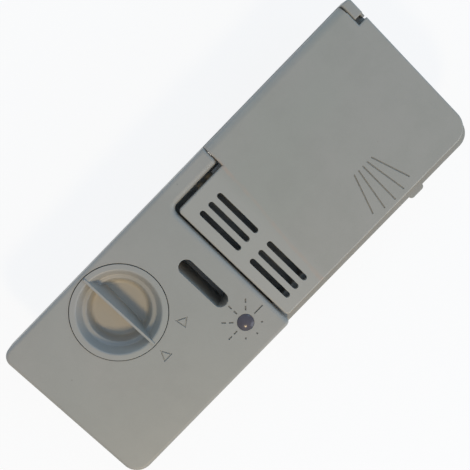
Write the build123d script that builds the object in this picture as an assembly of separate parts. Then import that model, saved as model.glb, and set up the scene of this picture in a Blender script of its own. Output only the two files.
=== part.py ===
# Dishwasher detergent dispenser: door-mounted, with a hinged detergent lid and a rinse-aid tank.
# Frame: X along the length towards the lid, Y towards the hinge edge, Z out of the face.
# z = 0 is the rear land of the flange, which seats on the inner sheet of the door. Millimetres.
import math
import os

from build123d import *

# Driving dimensions: outline and levels
FACE_LENGTH = 245.0
HINGE_EDGE_Y = 46.0
LATCH_EDGE_Y = -47.0
FACE_Z = 12.0
DECK_Z = 6.0
SKIN = 2.5
WALL = 2.2
REAR_DEPTH = 32.0
RING_DEPTH = 14.0
CORNER_TANK_HINGE = 6.0
CORNER_TANK_LATCH = 9.0
CORNER_POST = 2.0
CORNER_LID = 10.0
FACE_ROUND = 2.0
LID_ROUND = 1.0
MARK_DEPTH = 0.4
MARK_WIDTH = 0.7
FIT = 0.05
RUN_GAP = 0.3

# Driving dimensions: body behind the flange
BODY_INSET_TANK = 10.5
BODY_INSET_LID = 8.5
BODY_HALF_WIDTH = 37.0
BODY_CORNER = 8.0
GROOVE_INNER = 2.5
GROOVE_WIDTH = 3.0
GROOVE_DEPTH = 1.6
LAND_STEP = 0.2
HOOK_REACH = 2.2
HOOK_LENGTH = 9.0
HOOK_HEIGHT = 6.0
SHEET = 1.0

# Driving dimensions: raised face, lid and hinge
TANK_LENGTH = 110.0
STRIP_REACH = 33.9
STRIP_INNER_Y = 36.2
GAP_CORNER = 3.5
EDGE_REACH = 1.9
EDGE_ROLL = 3.0
MOAT_FLOOR_Z = 1.0
POST_LENGTH = 5.2
POST_INNER_Y = 36.3
POST_SILL = 2.1
POST_SILL_WALL = 1.2
POST_SILL_TOP_Z = 10.0
LID_GAP = 3.0
LID_SIDE_GAP = 2.8
TONGUE_CORNER = 2.2
LID_LATCH_INSET = 3.7
LID_SKIRT = 2.0
SEAM = 0.3
POST_GAP = 1.0
POST_POCKET = 3.2
BARREL_R = 4.5
PIN_R = 1.5
PIN_HOLD = 9.0
POST_COVER = 1.8
BARREL_CLEAR = 0.4
SPRING_SEAT_INSET = 50.5
SPRING_SEAT_LENGTH = 12.0
SPRING_WIRE_R = 0.45
LID_LEG = 8.0
RIB_PITCH = 18.0
RIB_INSET = 8.0
RIB_WIDTH = 1.6
DECK_LEG = 4.0

# Driving dimensions: louvres, cup and prewash recess
LOUVRE_LENGTH = 27.5
LOUVRE_WIDTH = 3.0
LOUVRE_PITCH = 6.1
LOUVRE_REACH = 16.7
LOUVRE_GROUP_Y = (11.5, -23.2)
CUP_REACH = 30.5
CUP_INSET = 62.5
CUP_HINGE_Y = 27.4
CUP_FLOOR_Z = -20.0
RECESS_FLOOR_Z = -4.0
CUP_RIM = 1.4
RIM_WIDTH = 1.6
SEAL_HEIGHT = 1.8
SEAL_WIDTH = 3.4

# Driving dimensions: rinse-aid cap, neck, outlet and level lens
CAP_INSET_X = 56.4
CAP_INSET_Y = 15.4
CAP_R = 24.4
CAP_PROUD = 0.4
CAP_RIM = 3.1
CAP_WALL = 1.6
CAP_CLEAR = 0.4
DISH_STEP_R = 18.6
DISH_STEP_Z = 6.6
DISH_FALL = 0.3
DISH_EASE = 1.2
WELL_TOP_R = 16.4
WELL_R = 14.0
WELL_BEND_Z = 3.2
WELL_FLOOR_Z = 0.8
WELL_EASE = 2.0
GRIP_RIDGE = 1.2
GRIP_WIDE = 8.0
GRIP_NARROW = 2.4
WIDE_OFFSET = 1.0
NARROW_OFFSET = 0.5
RIDGE_OFFSET = 0.3
GRIP_INSET = 0.6
GRIP_PROUD = 0.6
PLUG_WALL = 2.0
NECK_WALL = 1.3
NECK_END_Z = -6.0
CAP_LUG_REACH = 1.3
CAP_LUG_HEIGHT = 2.2
CAP_LUG_ANGLE = 34.0
CAP_TURN_DEG = 35.0
RING_SECTION_R = 0.65
RING_GROOVE = 1.2
OUTLET_BACK = 14.3
OUTLET_Y = -0.8
OUTLET_LENGTH = 31.6
OUTLET_WIDTH = 8.0
RAMP_LIP = 1.0
RAMP_RUN = 3.4
OUTLET_FLOOR_Z = -13.0
OUTLET_WALL = 1.8
LENS_BACK = 13.9
LENS_INSET_Y = 4.7
LENS_R = 4.3
LENS_FLANGE_R = 6.0
LENS_FLANGE = 2.0
LENS_PROUD = 1.4
LENS_STACK = 3.0
LENS_TUBE_WALL = 1.6
PRISM_END_Z = -12.0
RAY_CLEAR = 1.9
RAY_LENGTH = 6.0
RAY_DASH = 2.2
ARROW_CLEAR = 6.6

# Driving dimensions: latch
LATCH_INSET = 40.5
LATCH_TRAVEL = 3.0
SLIDER_WIDTH = 10.0
SLIDER_THICKNESS = 2.0
SLIDER_BOTTOM_Z = 2.7
BUTTON_REACH = 2.2
CATCH_WIDTH = 4.4
CATCH_INSET = 10.5
CATCH_THICKNESS = 1.6
CATCH_LEDGE = 3.2
CATCH_HEIGHT = 2.6
SLOT_BAR = 1.6
WINDOW_CLEAR = 0.8

# Driving dimensions: coil, plunger, crank and dosing rod
COIL_Z = -13.0
COIL_START_Y = -8.0
COIL_LENGTH = 34.0
YOKE_SHEET = 2.0
YOKE_WIDTH = 24.0
YOKE_EAR = 6.0
YOKE_CLEAR = 0.6
BOBBIN_R = 10.0
BOBBIN_BORE_R = 5.4
BOBBIN_WALL = 1.0
BOBBIN_FLANGE = 1.5
WINDING_R = 9.4
PLUNGER_R = 5.0
CORE_GAP = 4.0
CORE_LENGTH = 14.0
NECK_R = 2.0
HEAD_R = 4.5
HEAD_LENGTH = 3.0
LEG_THICKNESS = 2.5
LINK_PIN_R = 1.6
LINK_PIN_LEAD = 5.4
CRANK_INSET = 21.5
CRANK_THICKNESS = 2.6
CRANK_TOP_Z = -20.4
CRANK_HUB_R = 4.5
CRANK_ARM = 14.0
CRANK_BAR = 5.0
FORK_WALL = 2.6
FORK_BASE = 3.4
HUB_ABOVE = 3.0
HUB_BELOW = 1.5
PIVOT_R = 2.0
PIVOT_HOLD = 4.0
PIVOT_RISE = 8.0
ROD_WIDTH = 5.0
ROD_THICKNESS = 3.0
ROD_TOP_Z = -24.0
STEM_R = 1.5
STEM_Z = -10.2
STEM_RISE_REACH = 21.0
STEM_RISE_WIDTH = 3.0
ROD_PAD = 2.2
ROD_SLOT_SPARE = 0.5
VALVE_R = 3.5
VALVE_THICKNESS = 1.5
VALVE_BORE_R = 1.8
GLAND_R = 3.6
GLAND_SEAT_R = 2.8
GLAND_LIP = 0.5

# Driving dimensions: fasteners and terminals
SCREW_R = 1.5
SCREW_HEAD_R = 3.0
SCREW_HEAD = 2.0
SCREW_SLOT = 0.8
SCREW_SINK = 0.4
BOSS_R = 4.0
SCREW_GRIP = 8.0
COVER_SCREW_INSET = 6.5
COVER_SCREW_REACH = 15.5
TERMINAL_WIDTH = 6.3
TERMINAL_THICKNESS = 0.8
TERMINAL_SPACING = 9.0
SOCKET_MARGIN = 5.5

# Values that follow from the driving dimensions
TANK_END_X = -FACE_LENGTH / 2
LID_END_X = FACE_LENGTH / 2
REAR_Z = -REAR_DEPTH
RING_Z = -RING_DEPTH
BODY_X0 = TANK_END_X + BODY_INSET_TANK
BODY_X1 = LID_END_X - BODY_INSET_LID
INNER_X0 = BODY_X0 + WALL
INNER_X1 = BODY_X1 - WALL
INNER_Y = BODY_HALF_WIDTH - WALL
RAISED_END_X = TANK_END_X + TANK_LENGTH
STRIP_END_X = RAISED_END_X + STRIP_REACH
EDGE_X = RAISED_END_X + EDGE_REACH
POST_START_X = LID_END_X - POST_LENGTH
SPRING_SEAT_X = LID_END_X - SPRING_SEAT_INSET
LOUVRE_X = RAISED_END_X + LOUVRE_REACH
CUP_START_X = RAISED_END_X + CUP_REACH
CUP_END_X = LID_END_X - CUP_INSET
CAP_X = TANK_END_X + CAP_INSET_X
CAP_Y = INNER_Y - CAP_INSET_Y
OUTLET_X = RAISED_END_X - OUTLET_BACK
LENS_X = RAISED_END_X - LENS_BACK
LENS_Y = -INNER_Y + LENS_INSET_Y
LATCH_X = LID_END_X - LATCH_INSET
CRANK_X = LID_END_X - CRANK_INSET
STEM_RISE_X = RAISED_END_X + STEM_RISE_REACH
COVER_SCREW_X = RAISED_END_X + COVER_SCREW_REACH
CROSS_X0 = RAISED_END_X - WALL
AXIS_Y = HINGE_EDGE_Y - BARREL_R
AXIS_Z = FACE_Z - BARREL_R
LID_X0 = RAISED_END_X + LID_GAP
LID_Y0 = LATCH_EDGE_Y + LID_LATCH_INSET
CATCH_Y = LID_Y0 + CATCH_INSET
LID_TONGUE_Y1 = STRIP_INNER_Y - LID_SIDE_GAP
LID_PLATE_Z = FACE_Z - SKIN
SKIRT_Z = DECK_Z + 0.4
RIM_TOP_Z = DECK_Z + CUP_RIM
CUP_Y0 = -INNER_Y + WALL
SPRING_R = PIN_R + 0.5 + SPRING_WIRE_R
CATCH_Y0 = CATCH_Y - CATCH_THICKNESS / 2
LEDGE_Y = CATCH_Y0 + CATCH_THICKNESS + CATCH_LEDGE
SLOT_END_Y = LEDGE_Y + RUN_GAP
LEG_Y0 = SLOT_END_Y + SLOT_BAR
LEG_Y1 = LEG_Y0 + LEG_THICKNESS
LINK_PIN_Y = LEG_Y1 + LINK_PIN_LEAD
BIG = 400.0


def block(x0, x1, y0, y1, z0, z1):
    box = Box(x1 - x0, y1 - y0, z1 - z0, align=(Align.MIN, Align.MIN, Align.MIN))
    return Pos(x0, y0, z0) * box


def rod_x(x0, x1, y, z, r):
    return Pos((x0 + x1) / 2, y, z) * Rot(0, 90, 0) * Cylinder(r, x1 - x0)


def rod_y(y0, y1, x, z, r):
    return Pos(x, (y0 + y1) / 2, z) * Rot(90, 0, 0) * Cylinder(r, y1 - y0)


def rod_z(z0, z1, x, y, r):
    return Pos(x, y, (z0 + z1) / 2) * Cylinder(r, z1 - z0)


def corner_near(sketch, x, y):
    return min(sketch.vertices(), key=lambda v: (v.X - x) ** 2 + (v.Y - y) ** 2)


def rounded(sketch, corners):
    for x, y, r in corners:
        sketch = fillet(corner_near(sketch, x, y), r)
    return sketch


def plan(x0, x1, y0, y1):
    return Pos((x0 + x1) / 2, (y0 + y1) / 2) * Rectangle(x1 - x0, y1 - y0)


def raise_plan(sketch, z0, z1):
    return extrude(Pos(0, 0, z0) * sketch, z1 - z0)


def top_edges(solid, z):
    return [e for e in solid.edges() if abs(e.bounding_box().min.Z - z) < 1e-6]


def round_top(solid, z, r):
    return fillet(top_edges(solid, z), r)


def faces_gap(edge, inset=0.0):
    middle = edge @ 0.5
    beside = EDGE_X - inset - 0.01 < middle.X < STRIP_END_X - 0.01
    return beside and middle.Y < STRIP_INNER_Y + inset + 0.01


def ring_plan(offset):
    sketch = plan(BODY_X0 - offset, BODY_X1 + offset, -BODY_HALF_WIDTH - offset, BODY_HALF_WIDTH + offset)
    return fillet(sketch.vertices(), max(BODY_CORNER + offset, 0.5))


def turned(points, x, y, eased=None):
    face = Face(Wire.make_polygon([(r, 0, z) for r, z in points]))
    for (r, z), ease in (eased or {}).items():
        corner = min(face.vertices(), key=lambda v: (v.X - r) ** 2 + (v.Z - z) ** 2)
        face = face.fillet_2d(ease, [corner])
    return Pos(x, y, 0) * revolve(face, Axis.Z)


def coil_spring(mean_r, wire_r, length, turns):
    path = Helix(pitch=length / turns, height=length, radius=mean_r)
    section = Plane(path @ 0, z_dir=path % 0) * Circle(wire_r)
    return sweep(section, path=path, is_frenet=True)


def screw(x, y, head_z):
    shank = rod_z(head_z, head_z + SCREW_HEAD + SCREW_GRIP, x, y, SCREW_R)
    head = rod_z(head_z, head_z + SCREW_HEAD, x, y, SCREW_HEAD_R)
    half = SCREW_SLOT / 2
    slot = block(x - SCREW_HEAD_R, x + SCREW_HEAD_R, y - half, y + half, head_z, head_z + SCREW_SLOT)
    return shank + head - slot


pieces = {}

# Front housing: flange with the raised face of the tank end, the hinge strip and the hinge post
outline = rounded(
    plan(TANK_END_X, LID_END_X, LATCH_EDGE_Y, HINGE_EDGE_Y),
    [
        (TANK_END_X, HINGE_EDGE_Y, CORNER_TANK_HINGE),
        (LID_END_X, HINGE_EDGE_Y, CORNER_POST),
        (LID_END_X, LATCH_EDGE_Y, CORNER_TANK_LATCH),
        (TANK_END_X, LATCH_EDGE_Y, CORNER_TANK_LATCH),
    ],
)
flange = raise_plan(outline, 0, DECK_Z)
raised_plan = plan(TANK_END_X, EDGE_X, LATCH_EDGE_Y, HINGE_EDGE_Y)
raised_plan += plan(EDGE_X - 1, STRIP_END_X, STRIP_INNER_Y, HINGE_EDGE_Y)
raised_plan = rounded(
    raised_plan,
    [
        (TANK_END_X, HINGE_EDGE_Y, CORNER_TANK_HINGE),
        (TANK_END_X, LATCH_EDGE_Y, CORNER_TANK_LATCH),
        (EDGE_X, STRIP_INNER_Y, GAP_CORNER),
    ],
)
raised = raise_plan(raised_plan, 0, FACE_Z)
rolled = [e for e in top_edges(raised, FACE_Z) if faces_gap(e)]
raised = fillet(rolled, EDGE_ROLL)
outer = [e for e in top_edges(raised, FACE_Z) if not faces_gap(e, EDGE_ROLL)]
raised = fillet(outer, FACE_ROUND)
post_plan = plan(POST_START_X, LID_END_X, POST_INNER_Y, HINGE_EDGE_Y)
post_plan = rounded(post_plan, [(LID_END_X, HINGE_EDGE_Y, CORNER_POST)])
post = round_top(raise_plan(post_plan, 0, FACE_Z), FACE_Z, LID_ROUND)
post += block(
    LID_END_X - POST_SILL_WALL, LID_END_X, POST_INNER_Y - POST_SILL, POST_INNER_Y, 0, POST_SILL_TOP_Z,
)
housing = flange + raised + post

# Front housing: gasket groove, hollow tank front, hollow back of the deck
groove = raise_plan(ring_plan(GROOVE_INNER + GROOVE_WIDTH) - ring_plan(GROOVE_INNER), 0, GROOVE_DEPTH)
housing -= groove
housing -= raise_plan(ring_plan(GROOVE_INNER) - ring_plan(0), 0, LAND_STEP)
housing -= block(INNER_X0, CROSS_X0, -INNER_Y, INNER_Y, -1, FACE_Z - SKIN)
housing -= block(RAISED_END_X, INNER_X1, -INNER_Y, INNER_Y, -1, DECK_Z - SKIN)
ring_wall = raise_plan(ring_plan(0), RING_Z, 0) - raise_plan(ring_plan(-WALL), RING_Z, 0)
cross_wall = block(CROSS_X0, RAISED_END_X, -INNER_Y, INNER_Y, RING_Z, DECK_Z)
housing += ring_wall + cross_wall

# Front housing: prewash recess, detergent cup and its rim
housing -= block(RAISED_END_X, CUP_START_X - WALL, -INNER_Y, INNER_Y, 0, DECK_Z + 1)
housing -= block(RAISED_END_X, STRIP_END_X, INNER_Y, STRIP_INNER_Y, MOAT_FLOOR_Z, DECK_Z + 1)
housing += block(RAISED_END_X, CUP_START_X, -INNER_Y, INNER_Y, RECESS_FLOOR_Z - WALL, RECESS_FLOOR_Z)
cup_outer = plan(CUP_START_X - WALL, CUP_END_X + WALL, CUP_Y0 - WALL, CUP_HINGE_Y + WALL)
cup_inner = plan(CUP_START_X, CUP_END_X, CUP_Y0, CUP_HINGE_Y)
recess_side = block(CUP_START_X - WALL, CUP_START_X, -INNER_Y, INNER_Y, RECESS_FLOOR_Z, DECK_Z)
housing += recess_side + raise_plan(cup_outer, CUP_FLOOR_Z - WALL, DECK_Z)
rim_plan = plan(
    CUP_START_X - RIM_WIDTH, CUP_END_X + RIM_WIDTH, CUP_Y0 - RIM_WIDTH, CUP_HINGE_Y + RIM_WIDTH
)
housing += raise_plan(rim_plan, DECK_Z, RIM_TOP_Z)
cup_hollow = raise_plan(cup_inner, CUP_FLOOR_Z, RIM_TOP_Z + 1)
cup_floor_edges = [e for e in cup_hollow.edges() if e.bounding_box().max.Z < CUP_FLOOR_Z + 0.01]
housing -= fillet(cup_floor_edges, WALL)

# Front housing: channel for the lid barrel, bores for the hinge pin
channel_r = BARREL_R + BARREL_CLEAR
housing -= rod_x(STRIP_END_X, POST_START_X, AXIS_Y, AXIS_Z, channel_r)
housing -= block(STRIP_END_X, POST_START_X, AXIS_Y, HINGE_EDGE_Y + 1, AXIS_Z - channel_r, FACE_Z)
PIN_X0 = STRIP_END_X - PIN_HOLD
PIN_X1 = LID_END_X - POST_COVER
housing -= rod_x(PIN_X0, PIN_X1, AXIS_Y, AXIS_Z, PIN_R + FIT)

# Front housing: filler neck and dished seat of the rinse-aid cap
PLUG_R = WELL_R + PLUG_WALL
NECK_BORE_R = PLUG_R + RUN_GAP
NECK_OUTER_R = NECK_BORE_R + NECK_WALL
SEAT_R = CAP_R + CAP_CLEAR
SEAT_STEP_Z = FACE_Z - SKIN - CAP_CLEAR
DISH_OUT_R = DISH_STEP_R + CAP_WALL
DISH_OUT_Z = DISH_STEP_Z - CAP_WALL
WELL_OUT_R = WELL_TOP_R + CAP_WALL
WELL_OUT_Z = DISH_OUT_Z - 0.3
PLUG_TOP_Z = WELL_BEND_Z - CAP_WALL / 2
SEAT_LEDGE = 0.9
PLUG_END_Z = NECK_END_Z - CAP_CLEAR - CAP_LUG_HEIGHT
seat_body = [
    (0, NECK_END_Z),
    (NECK_OUTER_R, NECK_END_Z),
    (NECK_OUTER_R, PLUG_TOP_Z - CAP_CLEAR - NECK_WALL),
    (WELL_OUT_R + NECK_WALL, WELL_OUT_Z - CAP_CLEAR - NECK_WALL),
    (DISH_OUT_R + CAP_CLEAR + NECK_WALL, DISH_OUT_Z - CAP_CLEAR - NECK_WALL),
    (SEAT_R + NECK_WALL, SEAT_STEP_Z - NECK_WALL),
    (SEAT_R + NECK_WALL, FACE_Z - SKIN),
    (0, FACE_Z - SKIN),
]
tank_room = block(TANK_END_X + 1, CROSS_X0, -INNER_Y - 1, INNER_Y + 1, NECK_END_Z - 1, FACE_Z - 1)
housing += turned(seat_body, CAP_X, CAP_Y) & tank_room
seat_hollow = [
    (0, PLUG_END_Z - 1),
    (NECK_BORE_R, PLUG_END_Z - 1),
    (NECK_BORE_R, PLUG_TOP_Z - CAP_CLEAR),
    (WELL_OUT_R + CAP_CLEAR / 2, WELL_OUT_Z - CAP_CLEAR),
    (DISH_OUT_R + CAP_CLEAR, DISH_OUT_Z - CAP_CLEAR),
    (SEAT_R - SEAT_LEDGE, SEAT_STEP_Z),
    (SEAT_R, SEAT_STEP_Z),
    (SEAT_R, FACE_Z + 1),
    (0, FACE_Z + 1),
]
housing -= turned(seat_hollow, CAP_X, CAP_Y)
LUG_R = PLUG_R + CAP_LUG_REACH
slot_half = (LUG_R + 0.4) * math.sin(math.radians(CAP_LUG_ANGLE / 2)) + 0.6
for side in (0, 180):
    slot = block(0, LUG_R + 0.4, -slot_half, slot_half, NECK_END_Z - 1, WELL_OUT_Z)
    housing -= Pos(CAP_X, CAP_Y, 0) * Rot(0, 0, side + CAP_TURN_DEG) * slot

# Front housing: rinse-aid outlet pocket with its valve bore, and the gland seat in the cross wall
pocket = SlotOverall(OUTLET_LENGTH, OUTLET_WIDTH, rotation=90)
pocket_outer = SlotOverall(OUTLET_LENGTH + 2 * OUTLET_WALL, OUTLET_WIDTH + 2 * OUTLET_WALL, rotation=90)
outlet = Pos(OUTLET_X, OUTLET_Y)
housing += raise_plan(outlet * pocket_outer, OUTLET_FLOOR_Z - OUTLET_WALL, FACE_Z - SKIN)
housing -= raise_plan(outlet * pocket, OUTLET_FLOOR_Z, FACE_Z + 1)
ramp_x0 = OUTLET_X - OUTLET_WIDTH / 2
ramp_top_z = FACE_Z - RAMP_LIP
ramp_profile = Polyline(
    (ramp_x0, OUTLET_Y, ramp_top_z), (ramp_x0, OUTLET_Y, OUTLET_FLOOR_Z),
    (ramp_x0 + RAMP_RUN, OUTLET_Y, OUTLET_FLOOR_Z), close=True,
)
ramp = extrude(make_face(ramp_profile), OUTLET_LENGTH / 2, dir=(0, 1, 0), both=True)
housing += ramp & raise_plan(outlet * pocket, OUTLET_FLOOR_Z, FACE_Z)
VALVE_Y = LINK_PIN_Y + CRANK_ARM
VALVE_SEAT_X = OUTLET_X + OUTLET_WIDTH / 2 + OUTLET_WALL
housing -= rod_x(OUTLET_X, VALVE_SEAT_X + 1, VALVE_Y, STEM_Z, VALVE_BORE_R)
housing -= rod_x(CROSS_X0 - 1, RAISED_END_X + 1, VALVE_Y, STEM_Z, GLAND_SEAT_R)

# Front housing: tube that holds the level lens
LENS_TOP_Z = FACE_Z - SKIN
lens_tube_r = LENS_FLANGE_R + 0.1
LENS_TUBE_Z = LENS_TOP_Z - LENS_FLANGE - LENS_STACK
housing += rod_z(LENS_TUBE_Z, LENS_TOP_Z, LENS_X, LENS_Y, lens_tube_r + LENS_TUBE_WALL)
housing -= rod_z(LENS_TUBE_Z - 1, LENS_TOP_Z, LENS_X, LENS_Y, lens_tube_r)
housing -= rod_z(LENS_TOP_Z - 1, FACE_Z + 1, LENS_X, LENS_Y, LENS_R + 0.1)

# Front housing: channel and window of the latch slider
channel_side = SLIDER_WIDTH / 2 + RUN_GAP
SLIDER_TOP_Z = SLIDER_BOTTOM_Z + SLIDER_THICKNESS
WINDOW_END_Y = LEG_Y1 + LATCH_TRAVEL + WINDOW_CLEAR
housing -= block(
    LATCH_X - channel_side, LATCH_X + channel_side, LATCH_EDGE_Y - 1, -INNER_Y,
    SLIDER_BOTTOM_Z - RUN_GAP, SLIDER_TOP_Z + RUN_GAP,
)
housing -= block(LATCH_X - channel_side, LATCH_X + channel_side, -INNER_Y, WINDOW_END_Y, 0, DECK_Z + 1)

# Front housing: bosses for the cover screws, the coil yoke and the crank pivot
SCREW_HEAD_Z = REAR_Z + SCREW_SINK
BOSS_END_Z = REAR_Z + WALL + SCREW_HEAD
LID_SIDE_SCREW_X = INNER_X1 - COVER_SCREW_INSET
SIDE_SCREW_Y = INNER_Y - COVER_SCREW_INSET
cover_screws = [
    (COVER_SCREW_X, SIDE_SCREW_Y, RECESS_FLOOR_Z - WALL),
    (COVER_SCREW_X, -SIDE_SCREW_Y, RECESS_FLOOR_Z - WALL),
    (LID_SIDE_SCREW_X, SIDE_SCREW_Y, DECK_Z - SKIN),
    (LID_SIDE_SCREW_X, -SIDE_SCREW_Y, DECK_Z - SKIN),
]
for x, y, top in cover_screws:
    housing += rod_z(BOSS_END_Z, top, x, y, BOSS_R)
    housing -= rod_z(BOSS_END_Z - 1, BOSS_END_Z + SCREW_GRIP + 1, x, y, SCREW_R + FIT)
YOKE_TOP_Z = COIL_Z + BOBBIN_R + YOKE_CLEAR + YOKE_SHEET
YOKE_SCREW_OFF = YOKE_WIDTH / 2 + YOKE_EAR / 2
YOKE_SCREW_X = (LATCH_X - YOKE_SCREW_OFF, LATCH_X + YOKE_SCREW_OFF)
COIL_MID_Y = COIL_START_Y + COIL_LENGTH / 2
for x in YOKE_SCREW_X:
    housing += rod_z(YOKE_TOP_Z, DECK_Z - SKIN, x, COIL_MID_Y, SCREW_HEAD_R)
    housing -= rod_z(YOKE_TOP_Z - 1, YOKE_TOP_Z + 3, x, COIL_MID_Y, SCREW_R + FIT)
PIVOT_TOP_Z = CRANK_TOP_Z + PIVOT_RISE
PIVOT_BOSS_Z = PIVOT_TOP_Z - PIVOT_HOLD
housing += rod_z(PIVOT_BOSS_Z, DECK_Z - SKIN, CRANK_X, LINK_PIN_Y, PIVOT_R + WALL)
housing -= rod_z(PIVOT_BOSS_Z - 1, PIVOT_TOP_Z, CRANK_X, LINK_PIN_Y, PIVOT_R + FIT)

# Front housing: snap hooks that grip the door sheet
hook_profile = make_face(
    Polyline(
        (0, 0, -SHEET),
        (0, HOOK_REACH, -SHEET),
        (0, HOOK_REACH, -SHEET - 1),
        (0, 0, -SHEET - HOOK_HEIGHT),
        close=True,
    )
)
hook = extrude(hook_profile, HOOK_LENGTH / 2, both=True)
hook_step = (BODY_X1 - BODY_X0) / 4
hook_mid = (BODY_X0 + BODY_X1) / 2
for place in (-1.4, 0, 1.4):
    x = hook_mid + place * hook_step
    housing += Pos(x, BODY_HALF_WIDTH - FIT, 0) * hook
    housing += Pos(x, -BODY_HALF_WIDTH + FIT, 0) * Rot(0, 0, 180) * hook

# Front housing: marks in the face, arrows at the cap and rays round the lens
arrow_r = CAP_R + ARROW_CLEAR
arrow_points = [(-2.9, 2.9), (2.9, 2.9), (0, -2.9)]
for angle in (180, 180 + CAP_TURN_DEG):
    mark = make_face(Polyline(*arrow_points, close=True)) - make_face(
        Polyline(*[(0.66 * x, 0.66 * y + 0.3) for x, y in arrow_points], close=True)
    )
    mark = Pos(CAP_X, CAP_Y) * Rot(0, 0, angle) * Pos(0, arrow_r) * mark
    housing -= raise_plan(mark, FACE_Z - MARK_DEPTH, FACE_Z + 1)
ray_near = LENS_R + RAY_CLEAR
ray_far = ray_near + RAY_LENGTH
solid_ray = [(ray_near, ray_far)]
dashed_ray = [(ray_near, ray_near + RAY_DASH), (ray_far - RAY_DASH, ray_far)]
dot = [(ray_near + 1.6, ray_near + 2.6)]
for turn, strokes in enumerate([solid_ray] + 4 * [dashed_ray] + 3 * [dot]):
    for near, far in strokes:
        ray = plan(near, far, -MARK_WIDTH / 2, MARK_WIDTH / 2)
        ray = Pos(LENS_X, LENS_Y) * Rot(0, 0, 45 * turn) * ray
        housing -= raise_plan(ray, FACE_Z - MARK_DEPTH, FACE_Z + 1)
pieces["front_housing"] = housing

# Flange gasket: rubber ring in the groove, drawn as pressed flush by the door sheet
gasket_side = 0.15
gasket = ring_plan(GROOVE_INNER + GROOVE_WIDTH - gasket_side) - ring_plan(GROOVE_INNER + gasket_side)
pieces["flange_gasket"] = raise_plan(gasket, 0, GROOVE_DEPTH)

# Tank shell: rear half of the rinse-aid tank, welded to the ring wall
shell_cut = block(CROSS_X0, BIG, -BIG, BIG, -BIG, BIG)
end_cut = block(RAISED_END_X, BIG, -BIG, BIG, -BIG, BIG)
tank = raise_plan(ring_plan(0), REAR_Z, RING_Z) - end_cut
tank -= raise_plan(ring_plan(-WALL), REAR_Z + WALL, RING_Z) - shell_cut
rear_edges = [e for e in tank.edges() if e.bounding_box().max.Z < REAR_Z + 0.01]
pieces["tank_shell"] = fillet(rear_edges, WALL - 0.4)

# Level lens: clear dome with a prism that reaches down into the tank
dome_r = (LENS_R**2 + LENS_PROUD**2) / (2 * LENS_PROUD)
dome = Pos(LENS_X, LENS_Y, FACE_Z + LENS_PROUD - dome_r) * Sphere(dome_r)
dome &= rod_z(FACE_Z, FACE_Z + LENS_PROUD + 1, LENS_X, LENS_Y, LENS_R)
lens = rod_z(LENS_TOP_Z - 1, FACE_Z, LENS_X, LENS_Y, LENS_R) + dome
lens += rod_z(LENS_TOP_Z - LENS_FLANGE, LENS_TOP_Z, LENS_X, LENS_Y, LENS_FLANGE_R)
prism_r = LENS_R - 0.8
prism = rod_z(PRISM_END_Z, LENS_TOP_Z - 1, LENS_X, LENS_Y, prism_r)
prism_tip = Pos(LENS_X, LENS_Y, PRISM_END_Z - prism_r / 2) * Cone(0.2, prism_r, prism_r)
pieces["level_lens"] = lens + prism + prism_tip

# Lens seal and the push-on ring that holds lens and seal
seal_height = LENS_STACK / 2
lens_seal_z = LENS_TOP_Z - LENS_FLANGE - seal_height
ring_hole = prism_r + 0.1
lens_seal = rod_z(lens_seal_z, lens_seal_z + seal_height, LENS_X, LENS_Y, LENS_FLANGE_R)
lens_seal -= rod_z(lens_seal_z - 1, LENS_TOP_Z, LENS_X, LENS_Y, ring_hole)
pieces["lens_seal"] = lens_seal
lens_ring = rod_z(LENS_TUBE_Z, lens_seal_z, LENS_X, LENS_Y, LENS_FLANGE_R)
lens_ring -= rod_z(LENS_TUBE_Z - 1, lens_seal_z + 1, LENS_X, LENS_Y, ring_hole)
pieces["lens_retainer"] = lens_ring

# Hinge pin: steel rod through the strip, the lid barrel and the post
pieces["hinge_pin"] = rod_x(PIN_X0, PIN_X1, AXIS_Y, AXIS_Z, PIN_R)

# Lid: plate with skirt, hinge barrel, louvred tongue and catch
lid_plan = plan(STRIP_END_X + SEAM, LID_END_X, LID_Y0, HINGE_EDGE_Y - BARREL_R)
lid_plan -= plan(POST_START_X - SEAM, LID_END_X + 1, POST_INNER_Y - POST_POCKET, HINGE_EDGE_Y)
lid_plan += plan(LID_X0, STRIP_END_X + SEAM + 1, LID_Y0, LID_TONGUE_Y1)
lid_plan = rounded(
    lid_plan,
    [
        (LID_END_X, LID_Y0, CORNER_LID),
        (LID_X0, LID_TONGUE_Y1, TONGUE_CORNER),
        (LID_X0, LID_Y0, TONGUE_CORNER),
    ],
)
lid_block = raise_plan(lid_plan, SKIRT_Z, FACE_Z)
hinge_line = AXIS_Y - 0.01
lid_top = [
    e for e in lid_block.edges()
    if abs(e.bounding_box().min.Z - FACE_Z) < 1e-6 and e.bounding_box().min.Y < hinge_line
]
lid = fillet(lid_top, LID_ROUND)
lid_inside = offset(lid_plan, -LID_SKIRT)
lid -= raise_plan(lid_inside, SKIRT_Z, LID_PLATE_Z)
barrel_x0 = STRIP_END_X + SEAM
barrel_x1 = POST_START_X - POST_GAP
lid += rod_x(barrel_x0, barrel_x1, AXIS_Y, AXIS_Z, BARREL_R)
lid -= rod_x(barrel_x0 - 1, barrel_x1 + 1, AXIS_Y, AXIS_Z, PIN_R + 0.2)
seat_x0 = SPRING_SEAT_X - SPRING_SEAT_LENGTH / 2
seat_x1 = SPRING_SEAT_X + SPRING_SEAT_LENGTH / 2
lid -= rod_x(seat_x0, seat_x1, AXIS_Y, AXIS_Z, BARREL_R - 1.2)
lid -= block(seat_x0, seat_x1, AXIS_Y - BARREL_R - 3, HINGE_EDGE_Y + 1, 0, AXIS_Z)
leg_top_z = AXIS_Z + SPRING_R + SPRING_WIRE_R + 0.1
lid -= block(seat_x1 - 3, seat_x1, AXIS_Y - LID_LEG - 0.3, AXIS_Y, AXIS_Z, leg_top_z)
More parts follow.
